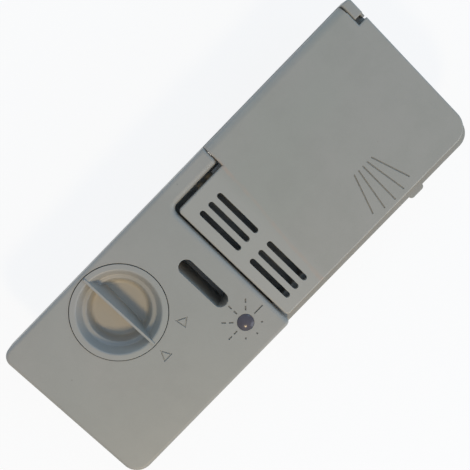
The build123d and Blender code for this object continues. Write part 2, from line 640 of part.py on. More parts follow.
for group_y in LOUVRE_GROUP_Y:
    for row in (-1, 0, 1):
        louvre = SlotOverall(LOUVRE_LENGTH, LOUVRE_WIDTH, rotation=90)
        louvre = Pos(LOUVRE_X + row * LOUVRE_PITCH, group_y) * louvre
        lid -= raise_plan(louvre, SKIRT_Z - 1, FACE_Z + 1)
rib_x0 = CUP_END_X + SEAL_WIDTH + 3
for rib_y in (-RIB_PITCH, 0, RIB_PITCH):
    rib_y0 = rib_y - RIB_WIDTH / 2
    lid += block(rib_x0, LID_END_X - RIB_INSET, rib_y0, rib_y0 + RIB_WIDTH, SKIRT_Z + 1.2, LID_PLATE_Z)
catch_low_z = SLIDER_BOTTOM_Z - RUN_GAP - CATCH_HEIGHT
catch_x0 = LATCH_X - CATCH_WIDTH / 2
catch_x1 = LATCH_X + CATCH_WIDTH / 2
lid += block(catch_x0, catch_x1, CATCH_Y0, CATCH_Y0 + CATCH_THICKNESS, catch_low_z, LID_PLATE_Z)
lid += block(catch_x0, catch_x1, CATCH_Y0, LEDGE_Y, catch_low_z, SLIDER_BOTTOM_Z - RUN_GAP)

# Lid: five spray lines that fan out towards the latch edge
spray_x = 70.4
spray_y = -17.0
spray_pitch = 3.05
spray_length = 24.0
spray_fan = 9.2
for row in (-2, -1, 0, 1, 2):
    line = plan(0, spray_length - 0.5 * row**2, -MARK_WIDTH / 2, MARK_WIDTH / 2)
    line = Pos(spray_x + spray_pitch * row, spray_y) * Rot(0, 0, -90 + spray_fan * row) * line
    lid -= raise_plan(line, FACE_Z - MARK_DEPTH, FACE_Z + 1)
pieces["lid"] = lid

# Lid seal: rubber frame on the underside of the lid, over the rim of the cup
seal_mid = RIM_WIDTH / 2
seal_out = seal_mid + SEAL_WIDTH / 2
seal_in = seal_mid - SEAL_WIDTH / 2
lid_seal = plan(CUP_START_X - seal_out, CUP_END_X + seal_out, CUP_Y0 - seal_out, CUP_HINGE_Y + seal_out)
lid_seal -= plan(CUP_START_X - seal_in, CUP_END_X + seal_in, CUP_Y0 - seal_in, CUP_HINGE_Y + seal_in)
pieces["lid_seal"] = raise_plan(lid_seal, LID_PLATE_Z - SEAL_HEIGHT, LID_PLATE_Z)

# Lid spring: torsion spring round the hinge pin, one leg on the lid and one on the deck
SPRING_LENGTH = SPRING_SEAT_LENGTH - 3.0
spring_x0 = SPRING_SEAT_X - SPRING_LENGTH / 2
spring_x1 = SPRING_SEAT_X + SPRING_LENGTH / 2
lid_spring = coil_spring(SPRING_R, SPRING_WIRE_R, SPRING_LENGTH, 5.5)
lid_spring = Pos(spring_x0, AXIS_Y, AXIS_Z) * Rot(0, 90, 0) * lid_spring
leg_r = SPRING_WIRE_R - FIT
leg_y1 = AXIS_Y + 0.6 * SPRING_WIRE_R
lid_spring += rod_y(AXIS_Y - DECK_LEG, leg_y1, spring_x0, AXIS_Z - SPRING_R, leg_r)
lid_spring += rod_y(AXIS_Y - LID_LEG, leg_y1, spring_x1, AXIS_Z + SPRING_R, leg_r)
pieces["lid_spring"] = lid_spring

# Rinse-aid cap: dished cap with a pointed grip across it, a plug and two bayonet lugs
CAP_TOP_Z = FACE_Z + CAP_PROUD
RING_MID_Z = (PLUG_TOP_Z + NECK_END_Z) / 2
ring_half = RING_SECTION_R + 0.1
cap_profile = [
    (0, WELL_FLOOR_Z),
    (WELL_R, WELL_FLOOR_Z),
    (WELL_TOP_R, DISH_STEP_Z - DISH_FALL),
    (DISH_STEP_R, DISH_STEP_Z),
    (CAP_R - CAP_RIM, CAP_TOP_Z),
    (CAP_R, CAP_TOP_Z),
    (CAP_R, SEAT_STEP_Z + RUN_GAP),
    (CAP_R - SEAT_LEDGE, SEAT_STEP_Z + RUN_GAP),
    (DISH_OUT_R, DISH_OUT_Z),
    (WELL_OUT_R, WELL_OUT_Z),
    (PLUG_R, PLUG_TOP_Z),
    (PLUG_R, RING_MID_Z + ring_half),
    (PLUG_R - RING_GROOVE, RING_MID_Z + ring_half),
    (PLUG_R - RING_GROOVE, RING_MID_Z - ring_half),
    (PLUG_R, RING_MID_Z - ring_half),
    (PLUG_R, PLUG_END_Z),
    (PLUG_R - PLUG_WALL, PLUG_END_Z),
    (PLUG_R - PLUG_WALL, WELL_FLOOR_Z - CAP_WALL),
    (0, WELL_FLOOR_Z - CAP_WALL),
]
bowl_corners = dict(zip(cap_profile[1:5], (WELL_EASE, DISH_EASE, DISH_EASE, DISH_EASE)))
cap = turned(cap_profile, CAP_X, CAP_Y, bowl_corners)
GRIP_TOP_Z = CAP_TOP_Z + GRIP_PROUD
sink = 0.5
grip_root_z = WELL_FLOOR_Z - sink
grip_end = CAP_R - GRIP_INSET


def grip_section(y, base, base_x):
    corners = [
        (base_x - base / 2, y, grip_root_z),
        (base_x + base / 2, y, grip_root_z),
        (RIDGE_OFFSET + GRIP_RIDGE / 2, y, GRIP_TOP_Z),
        (RIDGE_OFFSET - GRIP_RIDGE / 2, y, GRIP_TOP_Z),
    ]
    return make_face(Polyline(*corners, close=True))


wide_end = grip_section(grip_end, GRIP_WIDE, WIDE_OFFSET)
pointed_end = grip_section(-grip_end, GRIP_NARROW, NARROW_OFFSET)
grip = loft([wide_end, pointed_end], ruled=True)
grip_room = [
    (0, grip_root_z),
    (WELL_R + sink, grip_root_z),
    (WELL_TOP_R + sink, DISH_STEP_Z - DISH_FALL - sink),
    (DISH_STEP_R + sink, DISH_STEP_Z - sink),
    (CAP_R - CAP_RIM + sink, CAP_TOP_Z - sink),
    (grip_end, CAP_TOP_Z - sink),
    (grip_end, GRIP_TOP_Z),
    (0, GRIP_TOP_Z),
]
cap += (Pos(CAP_X, CAP_Y, 0) * grip) & turned(grip_room, CAP_X, CAP_Y)
lug_sector = [(0, 0)] + [
    (2 * LUG_R * math.cos(math.radians(a)), 2 * LUG_R * math.sin(math.radians(a)))
    for a in (-CAP_LUG_ANGLE / 2, CAP_LUG_ANGLE / 2)
]
lug_ring = Circle(LUG_R) - Circle(PLUG_R - PLUG_WALL / 2)
for side in (0, 180):
    lug_plan = lug_ring & make_face(Polyline(*lug_sector, close=True))
    lug = raise_plan(Rot(0, 0, side) * lug_plan, PLUG_END_Z, PLUG_END_Z + CAP_LUG_HEIGHT)
    cap += Pos(CAP_X, CAP_Y, 0) * lug
pieces["rinse_cap"] = cap

# Cap ring: rubber ring in the groove of the plug
ring_r = NECK_BORE_R - 0.1 - RING_SECTION_R
pieces["cap_ring"] = Pos(CAP_X, CAP_Y, RING_MID_Z) * Torus(ring_r, RING_SECTION_R)

# Latch slider: plate with the push button, a slot for the catch and a leg to the plunger
slider_x0 = LATCH_X - SLIDER_WIDTH / 2
slider_x1 = LATCH_X + SLIDER_WIDTH / 2
slider = block(slider_x0, slider_x1, LATCH_EDGE_Y - 0.4, LEG_Y1, SLIDER_BOTTOM_Z, SLIDER_TOP_Z)
slot_half_width = CATCH_WIDTH / 2 + RUN_GAP + 0.1
slot_y0 = CATCH_Y0 - LATCH_TRAVEL - 1.2
slider -= block(LATCH_X - slot_half_width, LATCH_X + slot_half_width, slot_y0, SLOT_END_Y, 0, DECK_Z)
leg_low_z = COIL_Z - HEAD_R
slider += block(slider_x0, slider_x1, LEG_Y0, LEG_Y1, leg_low_z, SLIDER_TOP_Z)
fork = NECK_R + RUN_GAP
slider -= block(LATCH_X - fork, LATCH_X + fork, LEG_Y0 - 1, LEG_Y1 + 1, leg_low_z - 1, COIL_Z)
slider -= rod_y(LEG_Y0 - 1, LEG_Y1 + 1, LATCH_X, COIL_Z, fork)
button = block(
    slider_x0 + RUN_GAP, slider_x1 - RUN_GAP,
    LATCH_EDGE_Y - BUTTON_REACH, LATCH_EDGE_Y, SLIDER_BOTTOM_Z, SLIDER_TOP_Z,
)
button_edges = button.edges().filter_by(Axis.Z).group_by(Axis.Y)[0]
slider += fillet(button_edges, BUTTON_REACH - 0.4)
pieces["latch_slider"] = slider

# Plunger: steel rod in the coil, with a neck and head that pull the slider leg
neck_y0 = LEG_Y0 - RUN_GAP
neck_y1 = LEG_Y1 + RUN_GAP
CORE_Y0 = COIL_START_Y + COIL_LENGTH - CORE_LENGTH
plunger = rod_y(neck_y1, CORE_Y0 - CORE_GAP, LATCH_X, COIL_Z, PLUNGER_R)
plunger += rod_y(neck_y0, neck_y1, LATCH_X, COIL_Z, NECK_R)
plunger += rod_y(neck_y0 - HEAD_LENGTH, neck_y0, LATCH_X, COIL_Z, HEAD_R)
COLLAR_Y = LINK_PIN_Y + LINK_PIN_R + 0.6
COLLAR = 0.8
COLLAR_R = PLUNGER_R + 1.5
plunger += rod_y(COLLAR_Y, COLLAR_Y + COLLAR, LATCH_X, COIL_Z, COLLAR_R)
plunger -= rod_z(COIL_Z - 2 * PLUNGER_R, COIL_Z + 2 * PLUNGER_R, LATCH_X, LINK_PIN_Y, LINK_PIN_R + FIT)
pieces["plunger"] = plunger

# Link pin: cross pin of the plunger that turns the crank
CRANK_Z0 = CRANK_TOP_Z - CRANK_THICKNESS
pieces["link_pin"] = rod_z(CRANK_Z0, COIL_Z + PLUNGER_R, LATCH_X, LINK_PIN_Y, LINK_PIN_R)

# Plunger spring: compression spring between the collar and the yoke
return_wire = 0.45
return_y0 = COLLAR_Y + COLLAR
return_length = COIL_START_Y - return_y0
plunger_spring = coil_spring(PLUNGER_R + 0.9, return_wire, return_length - 2 * return_wire - 0.2, 3.5)
pieces["plunger_spring"] = (
    Pos(LATCH_X, return_y0 + return_wire + 0.1, COIL_Z) * Rot(-90, 0, 0) * plunger_spring
)

# Coil yoke: folded steel strip with two ears under the deck
yoke_x0 = LATCH_X - YOKE_WIDTH / 2
yoke_x1 = LATCH_X + YOKE_WIDTH / 2
yoke_low_z = COIL_Z - BOBBIN_R + 0.4
coil_end_y = COIL_START_Y + COIL_LENGTH
yoke_base_z = YOKE_TOP_Z - YOKE_SHEET
yoke = block(yoke_x0, yoke_x1, COIL_START_Y, coil_end_y, yoke_base_z, YOKE_TOP_Z)
yoke += block(
    yoke_x0 - YOKE_EAR, yoke_x1 + YOKE_EAR, COIL_MID_Y - YOKE_EAR, COIL_MID_Y + YOKE_EAR,
    yoke_base_z, YOKE_TOP_Z,
)
yoke += block(yoke_x0, yoke_x1, COIL_START_Y, COIL_START_Y + YOKE_SHEET, yoke_low_z, YOKE_TOP_Z)
yoke += block(yoke_x0, yoke_x1, coil_end_y - YOKE_SHEET, coil_end_y, yoke_low_z, YOKE_TOP_Z)
yoke -= rod_y(COIL_START_Y - 1, COIL_START_Y + YOKE_SHEET + 1, LATCH_X, COIL_Z, BOBBIN_BORE_R)
yoke -= rod_y(coil_end_y - YOKE_SHEET - 1, coil_end_y + 1, LATCH_X, COIL_Z, PLUNGER_R - 1.5 + FIT)
for x in YOKE_SCREW_X:
    yoke -= rod_z(yoke_base_z - 1, YOKE_TOP_Z + 1, x, COIL_MID_Y, SCREW_R + 0.2)
pieces["coil_yoke"] = yoke

# Coil bobbin and winding
bobbin_y0 = COIL_START_Y + YOKE_SHEET
bobbin_y1 = coil_end_y - YOKE_SHEET
bobbin = rod_y(bobbin_y0, bobbin_y1, LATCH_X, COIL_Z, BOBBIN_BORE_R + BOBBIN_WALL)
bobbin += rod_y(bobbin_y0, bobbin_y0 + BOBBIN_FLANGE, LATCH_X, COIL_Z, BOBBIN_R)
bobbin += rod_y(bobbin_y1 - BOBBIN_FLANGE, bobbin_y1, LATCH_X, COIL_Z, BOBBIN_R)
block_x = TERMINAL_SPACING / 2 + TERMINAL_WIDTH / 2 + 1.2
block_z1 = COIL_Z - BOBBIN_BORE_R - BOBBIN_WALL
block_z0 = COIL_Z - BOBBIN_R - 3.0
block_y0 = bobbin_y1 - BOBBIN_FLANGE - 2.5
terminal_block = block(LATCH_X - block_x, LATCH_X + block_x, block_y0, bobbin_y1, block_z0, block_z1)
bobbin += terminal_block
bobbin -= rod_y(bobbin_y0 - 1, bobbin_y1 + 1, LATCH_X, COIL_Z, BOBBIN_BORE_R)
terminal_y = (block_y0 + bobbin_y1) / 2
terminal_x = (LATCH_X - TERMINAL_SPACING / 2, LATCH_X + TERMINAL_SPACING / 2)
blade_top_z = block_z0 + 2.4
for x in terminal_x:
    bobbin -= block(
        x - TERMINAL_WIDTH / 2 - FIT, x + TERMINAL_WIDTH / 2 + FIT,
        terminal_y - TERMINAL_THICKNESS / 2 - FIT, terminal_y + TERMINAL_THICKNESS / 2 + FIT,
        block_z0 - 1, blade_top_z,
    )
pieces["coil_bobbin"] = bobbin
winding_y0 = bobbin_y0 + BOBBIN_FLANGE + 0.1
winding_y1 = block_y0 - 0.1
winding = rod_y(winding_y0, winding_y1, LATCH_X, COIL_Z, WINDING_R)
winding -= rod_y(winding_y0 - 1, winding_y1 + 1, LATCH_X, COIL_Z, BOBBIN_BORE_R + BOBBIN_WALL + 0.1)
pieces["coil_winding"] = winding

# Fixed core: steel stop of the coil, riveted in the yoke
core = rod_y(CORE_Y0, coil_end_y - YOKE_SHEET, LATCH_X, COIL_Z, PLUNGER_R)
core += rod_y(coil_end_y - YOKE_SHEET, coil_end_y + 1, LATCH_X, COIL_Z, PLUNGER_R - 1.5)
pieces["fixed_core"] = core

# Terminals: two flat blades of the coil, ending inside the socket of the cover
terminal_low_z = REAR_Z + 0.6
blades = [
    block(
        x - TERMINAL_WIDTH / 2, x + TERMINAL_WIDTH / 2,
        terminal_y - TERMINAL_THICKNESS / 2, terminal_y + TERMINAL_THICKNESS / 2,
        terminal_low_z, blade_top_z,
    )
    for x in terminal_x
]
pieces["coil_terminals"] = Compound(children=blades)

# Yoke screws
pieces["yoke_screws"] = Compound(
    children=[
        rod_z(yoke_base_z, YOKE_TOP_Z + 2.5, x, COIL_MID_Y, SCREW_R)
        + rod_z(yoke_base_z - SCREW_HEAD, yoke_base_z, x, COIL_MID_Y, SCREW_HEAD_R)
        for x in YOKE_SCREW_X
    ]
)

# Crank: bell crank that turns the pull of the plunger into the pull of the dosing rod
ROD_Z0 = ROD_TOP_Z - ROD_THICKNESS
FORK_X0 = LATCH_X - LINK_PIN_R - FORK_WALL
crank = block(
    FORK_X0, CRANK_X, LINK_PIN_Y - CRANK_BAR / 2, LINK_PIN_Y + CRANK_BAR / 2,
    CRANK_Z0, CRANK_TOP_Z,
)
fork_end_x = LATCH_X + LINK_PIN_R + FORK_BASE
fork_half = LINK_PIN_R + RUN_GAP
crank += block(
    FORK_X0, fork_end_x, LINK_PIN_Y - fork_half - WALL, LINK_PIN_Y + fork_half + WALL,
    CRANK_Z0, CRANK_TOP_Z,
)
crank += block(
    CRANK_X - CRANK_BAR / 2, CRANK_X + CRANK_BAR / 2, LINK_PIN_Y, VALVE_Y + CRANK_BAR / 2,
    CRANK_Z0, CRANK_TOP_Z,
)
HUB_Z0 = CRANK_Z0 - HUB_BELOW
HUB_Z1 = CRANK_TOP_Z + HUB_ABOVE
crank += rod_z(HUB_Z0, HUB_Z1, CRANK_X, LINK_PIN_Y, CRANK_HUB_R)
crank += rod_z(ROD_Z0 + RUN_GAP, CRANK_TOP_Z, CRANK_X, VALVE_Y, LINK_PIN_R)
crank -= rod_z(HUB_Z0 - 1, HUB_Z1 + 1, CRANK_X, LINK_PIN_Y, PIVOT_R + 0.15)
crank -= block(
    LATCH_X - BIG, LATCH_X + LINK_PIN_R + RUN_GAP + 0.8, LINK_PIN_Y - fork_half, LINK_PIN_Y + fork_half,
    CRANK_Z0 - 1, CRANK_TOP_Z + 1,
)
pieces["crank"] = crank

# Crank pivot: steel pin between the deck and the cover
PIVOT_LOW_Z = REAR_Z + WALL
pieces["crank_pivot"] = rod_z(PIVOT_LOW_Z, PIVOT_TOP_Z, CRANK_X, LINK_PIN_Y, PIVOT_R)

# Dosing rod: bar under the cup, rising to the valve stem that enters the tank through the gland
rod_y0 = VALVE_Y - ROD_WIDTH / 2
rod_y1 = VALVE_Y + ROD_WIDTH / 2
pad_half = LINK_PIN_R + RUN_GAP + ROD_PAD
rise_x0 = STEM_RISE_X - STEM_RISE_WIDTH / 2
dosing_rod = block(rise_x0, CRANK_X, rod_y0, rod_y1, ROD_Z0, ROD_TOP_Z)
dosing_rod += block(
    CRANK_X - pad_half, CRANK_X + pad_half,
    VALVE_Y - pad_half - ROD_SLOT_SPARE, VALVE_Y + pad_half + ROD_SLOT_SPARE,
    ROD_Z0, ROD_TOP_Z,
)
dosing_rod -= block(
    CRANK_X - fork_half, CRANK_X + fork_half,
    VALVE_Y - fork_half - ROD_SLOT_SPARE, VALVE_Y + fork_half + ROD_SLOT_SPARE,
    ROD_Z0 - 1, ROD_TOP_Z + 1,
)
dosing_rod += block(
    rise_x0, rise_x0 + STEM_RISE_WIDTH, rod_y0, rod_y1, ROD_Z0, STEM_Z + STEM_R,
)
VALVE_X1 = VALVE_SEAT_X + VALVE_THICKNESS
dosing_rod += rod_x(VALVE_X1, STEM_RISE_X, VALVE_Y, STEM_Z, STEM_R)
pieces["dosing_rod"] = dosing_rod

# Valve disc: rubber disc on the stem, closing the bore of the outlet pocket
pieces["valve_disc"] = rod_x(VALVE_SEAT_X, VALVE_X1, VALVE_Y, STEM_Z, VALVE_R)

# Rod gland: rubber grommet in the cross wall
gland = rod_x(CROSS_X0 - GLAND_LIP, RAISED_END_X + GLAND_LIP, VALVE_Y, STEM_Z, GLAND_R)
groove_ring = rod_x(CROSS_X0, RAISED_END_X, VALVE_Y, STEM_Z, GLAND_R + 1)
groove_ring -= rod_x(CROSS_X0 - 1, RAISED_END_X + 1, VALVE_Y, STEM_Z, GLAND_SEAT_R - FIT)
gland -= groove_ring
gland -= rod_x(CROSS_X0 - 2, RAISED_END_X + 2, VALVE_Y, STEM_Z, STEM_R + 0.1)
pieces["rod_gland"] = gland

# Rear cover: tub over the coil and the rod, with the terminal socket and screw seats
COVER_X0 = RAISED_END_X + 0.2
cover_cut = block(-BIG, COVER_X0, -BIG, BIG, -BIG, BIG)
cover_inner_cut = block(-BIG, COVER_X0 + WALL, -BIG, BIG, -BIG, BIG)
cover = raise_plan(ring_plan(0), REAR_Z, RING_Z) - cover_cut
cover -= raise_plan(ring_plan(-WALL), REAR_Z + WALL, RING_Z) - cover_inner_cut
cover_edges = [e for e in cover.edges() if e.bounding_box().max.Z < REAR_Z + 0.01]
cover = fillet(cover_edges, WALL - 0.4)
for x, y, top in cover_screws:
    cover += rod_z(REAR_Z, BOSS_END_Z, x, y, BOSS_R)
    cover -= rod_z(REAR_Z - 1, SCREW_HEAD_Z + SCREW_HEAD, x, y, SCREW_HEAD_R + 0.3)
    cover -= rod_z(REAR_Z - 1, BOSS_END_Z + 1, x, y, SCREW_R + 0.2)
socket_x = TERMINAL_SPACING / 2 + TERMINAL_WIDTH / 2 + SOCKET_MARGIN
socket_y0 = terminal_y - SOCKET_MARGIN
socket_y1 = terminal_y + SOCKET_MARGIN
cover -= block(LATCH_X - socket_x, LATCH_X + socket_x, socket_y0, socket_y1, REAR_Z - 1, REAR_Z + WALL + 1)
pieces["rear_cover"] = cover

# Cover screws
pieces["cover_screws"] = Compound(children=[screw(x, y, SCREW_HEAD_Z) for x, y, top in cover_screws])

os.makedirs("parts", exist_ok=True)
for name, shape in pieces.items():
    export_step(shape, f"parts/{name}.step")
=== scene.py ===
import math

import bmesh
import bpy
from mathutils import Matrix, Vector
from mathutils.bvhtree import BVHTree


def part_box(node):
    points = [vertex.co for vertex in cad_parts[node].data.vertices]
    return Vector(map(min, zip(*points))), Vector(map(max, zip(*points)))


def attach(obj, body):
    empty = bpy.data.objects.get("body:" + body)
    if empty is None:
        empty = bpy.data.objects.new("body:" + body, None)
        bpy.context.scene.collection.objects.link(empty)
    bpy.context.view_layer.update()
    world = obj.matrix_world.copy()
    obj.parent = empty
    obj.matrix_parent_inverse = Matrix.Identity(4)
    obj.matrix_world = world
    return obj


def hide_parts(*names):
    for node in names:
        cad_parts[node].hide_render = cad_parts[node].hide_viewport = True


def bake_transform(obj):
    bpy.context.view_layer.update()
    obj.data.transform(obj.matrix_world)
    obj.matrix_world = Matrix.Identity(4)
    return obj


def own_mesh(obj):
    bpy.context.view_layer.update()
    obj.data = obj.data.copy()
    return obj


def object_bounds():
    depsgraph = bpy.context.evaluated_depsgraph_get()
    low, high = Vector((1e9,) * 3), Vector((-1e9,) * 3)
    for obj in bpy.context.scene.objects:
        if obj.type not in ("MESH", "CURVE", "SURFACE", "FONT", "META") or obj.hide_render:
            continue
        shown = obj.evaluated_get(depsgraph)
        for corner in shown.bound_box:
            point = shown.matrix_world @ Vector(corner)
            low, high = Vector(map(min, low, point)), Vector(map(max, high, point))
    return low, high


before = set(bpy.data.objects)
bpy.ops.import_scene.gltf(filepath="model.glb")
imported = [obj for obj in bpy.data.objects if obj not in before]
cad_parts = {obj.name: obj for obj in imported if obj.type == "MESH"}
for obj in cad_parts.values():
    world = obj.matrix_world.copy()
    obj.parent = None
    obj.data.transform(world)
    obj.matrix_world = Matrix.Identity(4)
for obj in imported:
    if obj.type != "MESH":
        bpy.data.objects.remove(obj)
cad_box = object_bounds()

# Viewpoint: the dispenser lies on its back and is seen from above the hinge edge, turned
# so that its length runs from the lower left to the upper right. No lens shift.
MM = 0.001
scene = bpy.context.scene
eye = Vector((13.9, 67.6, 403.6)) * MM
look = Vector((-0.0311, -0.1581, -0.9869)).normalized()
up = Vector((0.7161, 0.6853, -0.1323))
right = look.cross(up).normalized()
up = right.cross(look)
lens_data = bpy.data.cameras.new("viewpoint")
lens_data.sensor_width = 36.0
lens_data.lens = 61.28
lens_data.clip_start = 0.01
camera = bpy.data.objects.new("viewpoint", lens_data)
camera.matrix_world = Matrix.Translation(eye) @ Matrix((right, up, -look)).transposed().to_4x4()
scene.collection.objects.link(camera)
scene.camera = camera
scene.view_settings.view_transform = "Standard"

# Studio: a white table in cool daylight from all round. A small warm panel, high off the tank
# end's latch corner, throws the soft shadows. A cool panel stands low at the latch edge, a blue
# one at the lid end and a cream card at the hinge edge.


class Wire:
    """One output of a node. Sums of wires and numbers add Math nodes to the same tree."""

    def __init__(self, bench, socket):
        self.bench = bench
        self.socket = socket

    def _sum(self, operation, first, second):
        return self.bench.add("ShaderNodeMath", {"operation": operation}, {0: first, 1: second})

    def __add__(self, other):
        return self._sum("ADD", self, other)

    def __radd__(self, other):
        return self._sum("ADD", other, self)

    def __sub__(self, other):
        return self._sum("SUBTRACT", self, other)

    def __rsub__(self, other):
        return self._sum("SUBTRACT", other, self)

    def __mul__(self, other):
        return self._sum("MULTIPLY", self, other)

    def __rmul__(self, other):
        return self._sum("MULTIPLY", other, self)

    def size(self):
        return self._sum("ABSOLUTE", self, 0.0)

    def side(self, name):
        return Wire(self.bench, self.socket.node.outputs[name])


class Bench:
    """A node tree at work: add() makes any node, its settings first, then its sockets."""

    def __init__(self, tree):
        self.tree = tree

    def add(self, kind, settings=None, inputs=None, out=0):
        node = self.tree.nodes.new(kind)
        for key, value in (settings or {}).items():
            setattr(node, key, value)
        for key, value in (inputs or {}).items():
            if isinstance(value, Wire):
                self.tree.links.new(value.socket, node.inputs[key])
            else:
                node.inputs[key].default_value = value
        return Wire(self, node.outputs[out]) if node.outputs else node

    def mix(self, factor, first, second):
        return self.add("ShaderNodeMix", {"data_type": "RGBA"}, {0: factor, 6: first, 7: second}, out=2)

    def step(self, value, low, high, start=0.0, end=1.0):
        settings = {"interpolation_type": "SMOOTHSTEP"}
        inputs = {"Value": value, "From Min": low, "From Max": high, "To Min": start, "To Max": end}
        return self.add("ShaderNodeMapRange", settings, inputs)


def hue(red, green, blue):
    """A colour as seen, 0 to 255 a channel, as the linear one that shaders take."""
    channels = [c / 255 for c in (red, green, blue)]
    return [c / 12.92 if c < 0.04045 else ((c + 0.055) / 1.055) ** 2.4 for c in channels] + [1.0]


def seen_rays(bench):
    ray = bench.add("ShaderNodeLightPath", out="Is Camera Ray")
    total = ray + ray.side("Is Glossy Ray") + ray.side("Is Transmission Ray")
    return bench.add("ShaderNodeClamp", inputs={"Value": total})


ROOM_LIGHT = (0.42, 0.66, 1.0, 1.0)
ROOM_STRENGTH = 0.56
WHITE = (1.0, 1.0, 1.0, 1.0)
world = bpy.data.worlds.new("studio")
world.use_nodes = True
world.node_tree.nodes.clear()
bench = Bench(world.node_tree)
room = bench.add("ShaderNodeBackground", inputs={"Color": ROOM_LIGHT, "Strength": ROOM_STRENGTH})
white = bench.add("ShaderNodeBackground", inputs={"Color": WHITE, "Strength": 1.0})
shown = bench.add("ShaderNodeMixShader", inputs={0: seen_rays(bench), 1: room, 2: white})
bench.add("ShaderNodeOutputWorld", inputs={"Surface": shown})
scene.world = world

TABLE_HALF = 3.0
TABLE_SHADOW = 0.12
TABLE_PAPER = (0.86, 0.86, 0.86, 1.0)
table_z = cad_box[0].z
table_mesh = bpy.data.meshes.new("table")
table_corners = [(-1, -1), (1, -1), (1, 1), (-1, 1)]
table_points = [(x * TABLE_HALF, y * TABLE_HALF, table_z) for x, y in table_corners]
table_mesh.from_pydata(table_points, [], [(0, 1, 2, 3)])
table = bpy.data.objects.new("table", table_mesh)
scene.collection.objects.link(table)
table_white = bpy.data.materials.new("table_white")
table_white.use_nodes = True
table_white.node_tree.nodes.clear()
bench = Bench(table_white.node_tree)
paper = bench.add("ShaderNodeBsdfDiffuse", inputs={"Color": TABLE_PAPER})
glow = bench.add("ShaderNodeEmission", inputs={"Color": WHITE, "Strength": 1.0})
share = seen_rays(bench) * (1 - TABLE_SHADOW)
sheet = bench.add("ShaderNodeMixShader", inputs={0: share, 1: paper, 2: glow})
bench.add("ShaderNodeOutputMaterial", inputs={"Surface": sheet})
table_mesh.materials.append(table_white)

for name, place, width, watts, tint in [
    ("warm_panel", (-0.65, -0.78, 1.09), 0.22, 11.8, (1.0, 0.75, 0.40)),
    ("cool_panel", (0.35, -1.10, 0.40), 0.7, 4.2, (0.80, 0.88, 1.0)),
    ("blue_panel", (1.10, 0.20, 0.58), 0.5, 2.6, (0.50, 0.76, 1.0)),
    ("bounce_card", (0.0, 1.20, 0.35), 0.7, 2.6, (1.0, 0.90, 0.74)),
]:
    panel = bpy.data.lights.new(name, "AREA")
    panel.shape = "SQUARE"
    panel.size = width
    panel.energy = watts
    panel.color = tint
    lamp = bpy.data.objects.new(name, panel)
    lamp.location = place
    lamp.rotation_euler = (-Vector(place)).to_track_quat("-Z", "Y").to_euler()
    scene.collection.objects.link(lamp)

# Front housing: one grey polypropylene moulding with a fine spark-eroded grain. It carries
# the flange, the raised tank end, the hinge strip and post, the cup, the filler neck and hooks.
EDGE = 0.25
EDGE_SAMPLES = 6
STRAY = 0.8
MERGE_GAP = 2e-6
SAME_FLAT = 0.99999


def settled(piece, crease=None):
    """The piece with its modifiers worked in, and a crease angle where they set no normals."""
    bpy.context.view_layer.update()
    graph = bpy.context.evaluated_depsgraph_get()
    mesh = bpy.data.meshes.new_from_object(piece.evaluated_get(graph), depsgraph=graph)
    name = piece.name
    bpy.data.objects.remove(piece)
    mesh.name = name
    if crease:
        mesh.shade_smooth()
        mesh.set_sharp_from_angle(angle=math.radians(crease))
    made = bpy.data.objects.new(name, mesh)
    scene.collection.objects.link(made)
    return made


def smooth_flats(mesh, limit):
    """Corner normals led by the largest flat at each point, so that no triangle shows on it."""
    shell = bmesh.new()
    shell.from_mesh(mesh)
    shell.faces.ensure_lookup_table()
    shell.normal_update()
    flat_of = [-1] * len(shell.faces)
    flat_area = []
    for first in shell.faces:
        if flat_of[first.index] < 0:
            flat_of[first.index] = len(flat_area)
            flat_area.append(0.0)
            front = [first]
            while front:
                face = front.pop()
                flat_area[-1] += face.calc_area()
                for edge in face.edges:
                    for near in edge.link_faces:
                        if flat_of[near.index] < 0 and near.normal.dot(first.normal) > SAME_FLAT:
                            flat_of[near.index] = len(flat_area) - 1
                            front.append(near)
    bend = math.cos(math.radians(limit))
    normals = []
    for face in shell.faces:
        for corner in face.loops:
            lead = Vector()
            for near in corner.vert.link_faces:
                if near.normal.dot(face.normal) > bend:
                    lead += near.normal * flat_area[flat_of[near.index]]
            normals.append(lead.normalized() if lead.length else face.normal.copy())
    shell.free()
    mesh.normals_split_custom_set(normals)


def moulded(node, name, edge=EDGE, steps=2, limit=35):
    """A copy of a solid with its points merged and, unless edge is 0, its sharp edges eased."""
    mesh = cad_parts[node].data.copy()
    shell = bmesh.new()
    shell.from_mesh(mesh)
    bmesh.ops.remove_doubles(shell, verts=shell.verts, dist=MERGE_GAP)
    solid = BVHTree.FromBMesh(shell)
    shell.to_mesh(mesh)
    shell.free()
    mesh.materials.clear()
    mesh.shade_smooth()
    piece = bpy.data.objects.new(name, mesh)
    scene.collection.objects.link(piece)
    if edge:
        ease = piece.modifiers.new("ease", "BEVEL")
        ease.width = edge * MM
        ease.segments = steps
        ease.limit_method = "ANGLE"
        ease.angle_limit = math.radians(limit)
        ease.use_clamp_overlap = False
        ease.miter_outer = "MITER_ARC"
    piece = settled(piece)
    for point in piece.data.vertices if edge else ():
        nearest, _, _, gap = solid.find_nearest(point.co)
        if gap > STRAY * edge * MM:
            point.co = nearest
    smooth_flats(piece.data, limit)
    return piece


def put(piece, material, body, slot, *nodes):
    """Gives a piece its material and body, and hides the solids that it stands for. The slot is not
    used.
    """
    piece.data.materials.clear()
    piece.data.materials.append(material)
    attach(piece, body)
    if nodes:
        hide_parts(*nodes)
    return piece


def finish(name):
    """A new material: its bench, and the wire of its object coordinates."""
    material = bpy.data.materials.new(name)
    material.use_nodes = True
    bench = Bench(material.node_tree)
    bench.material = material
    bench.shader = material.node_tree.nodes["Principled BSDF"]
    bench.place = bench.add("ShaderNodeTexCoord", out="Object")
    return bench


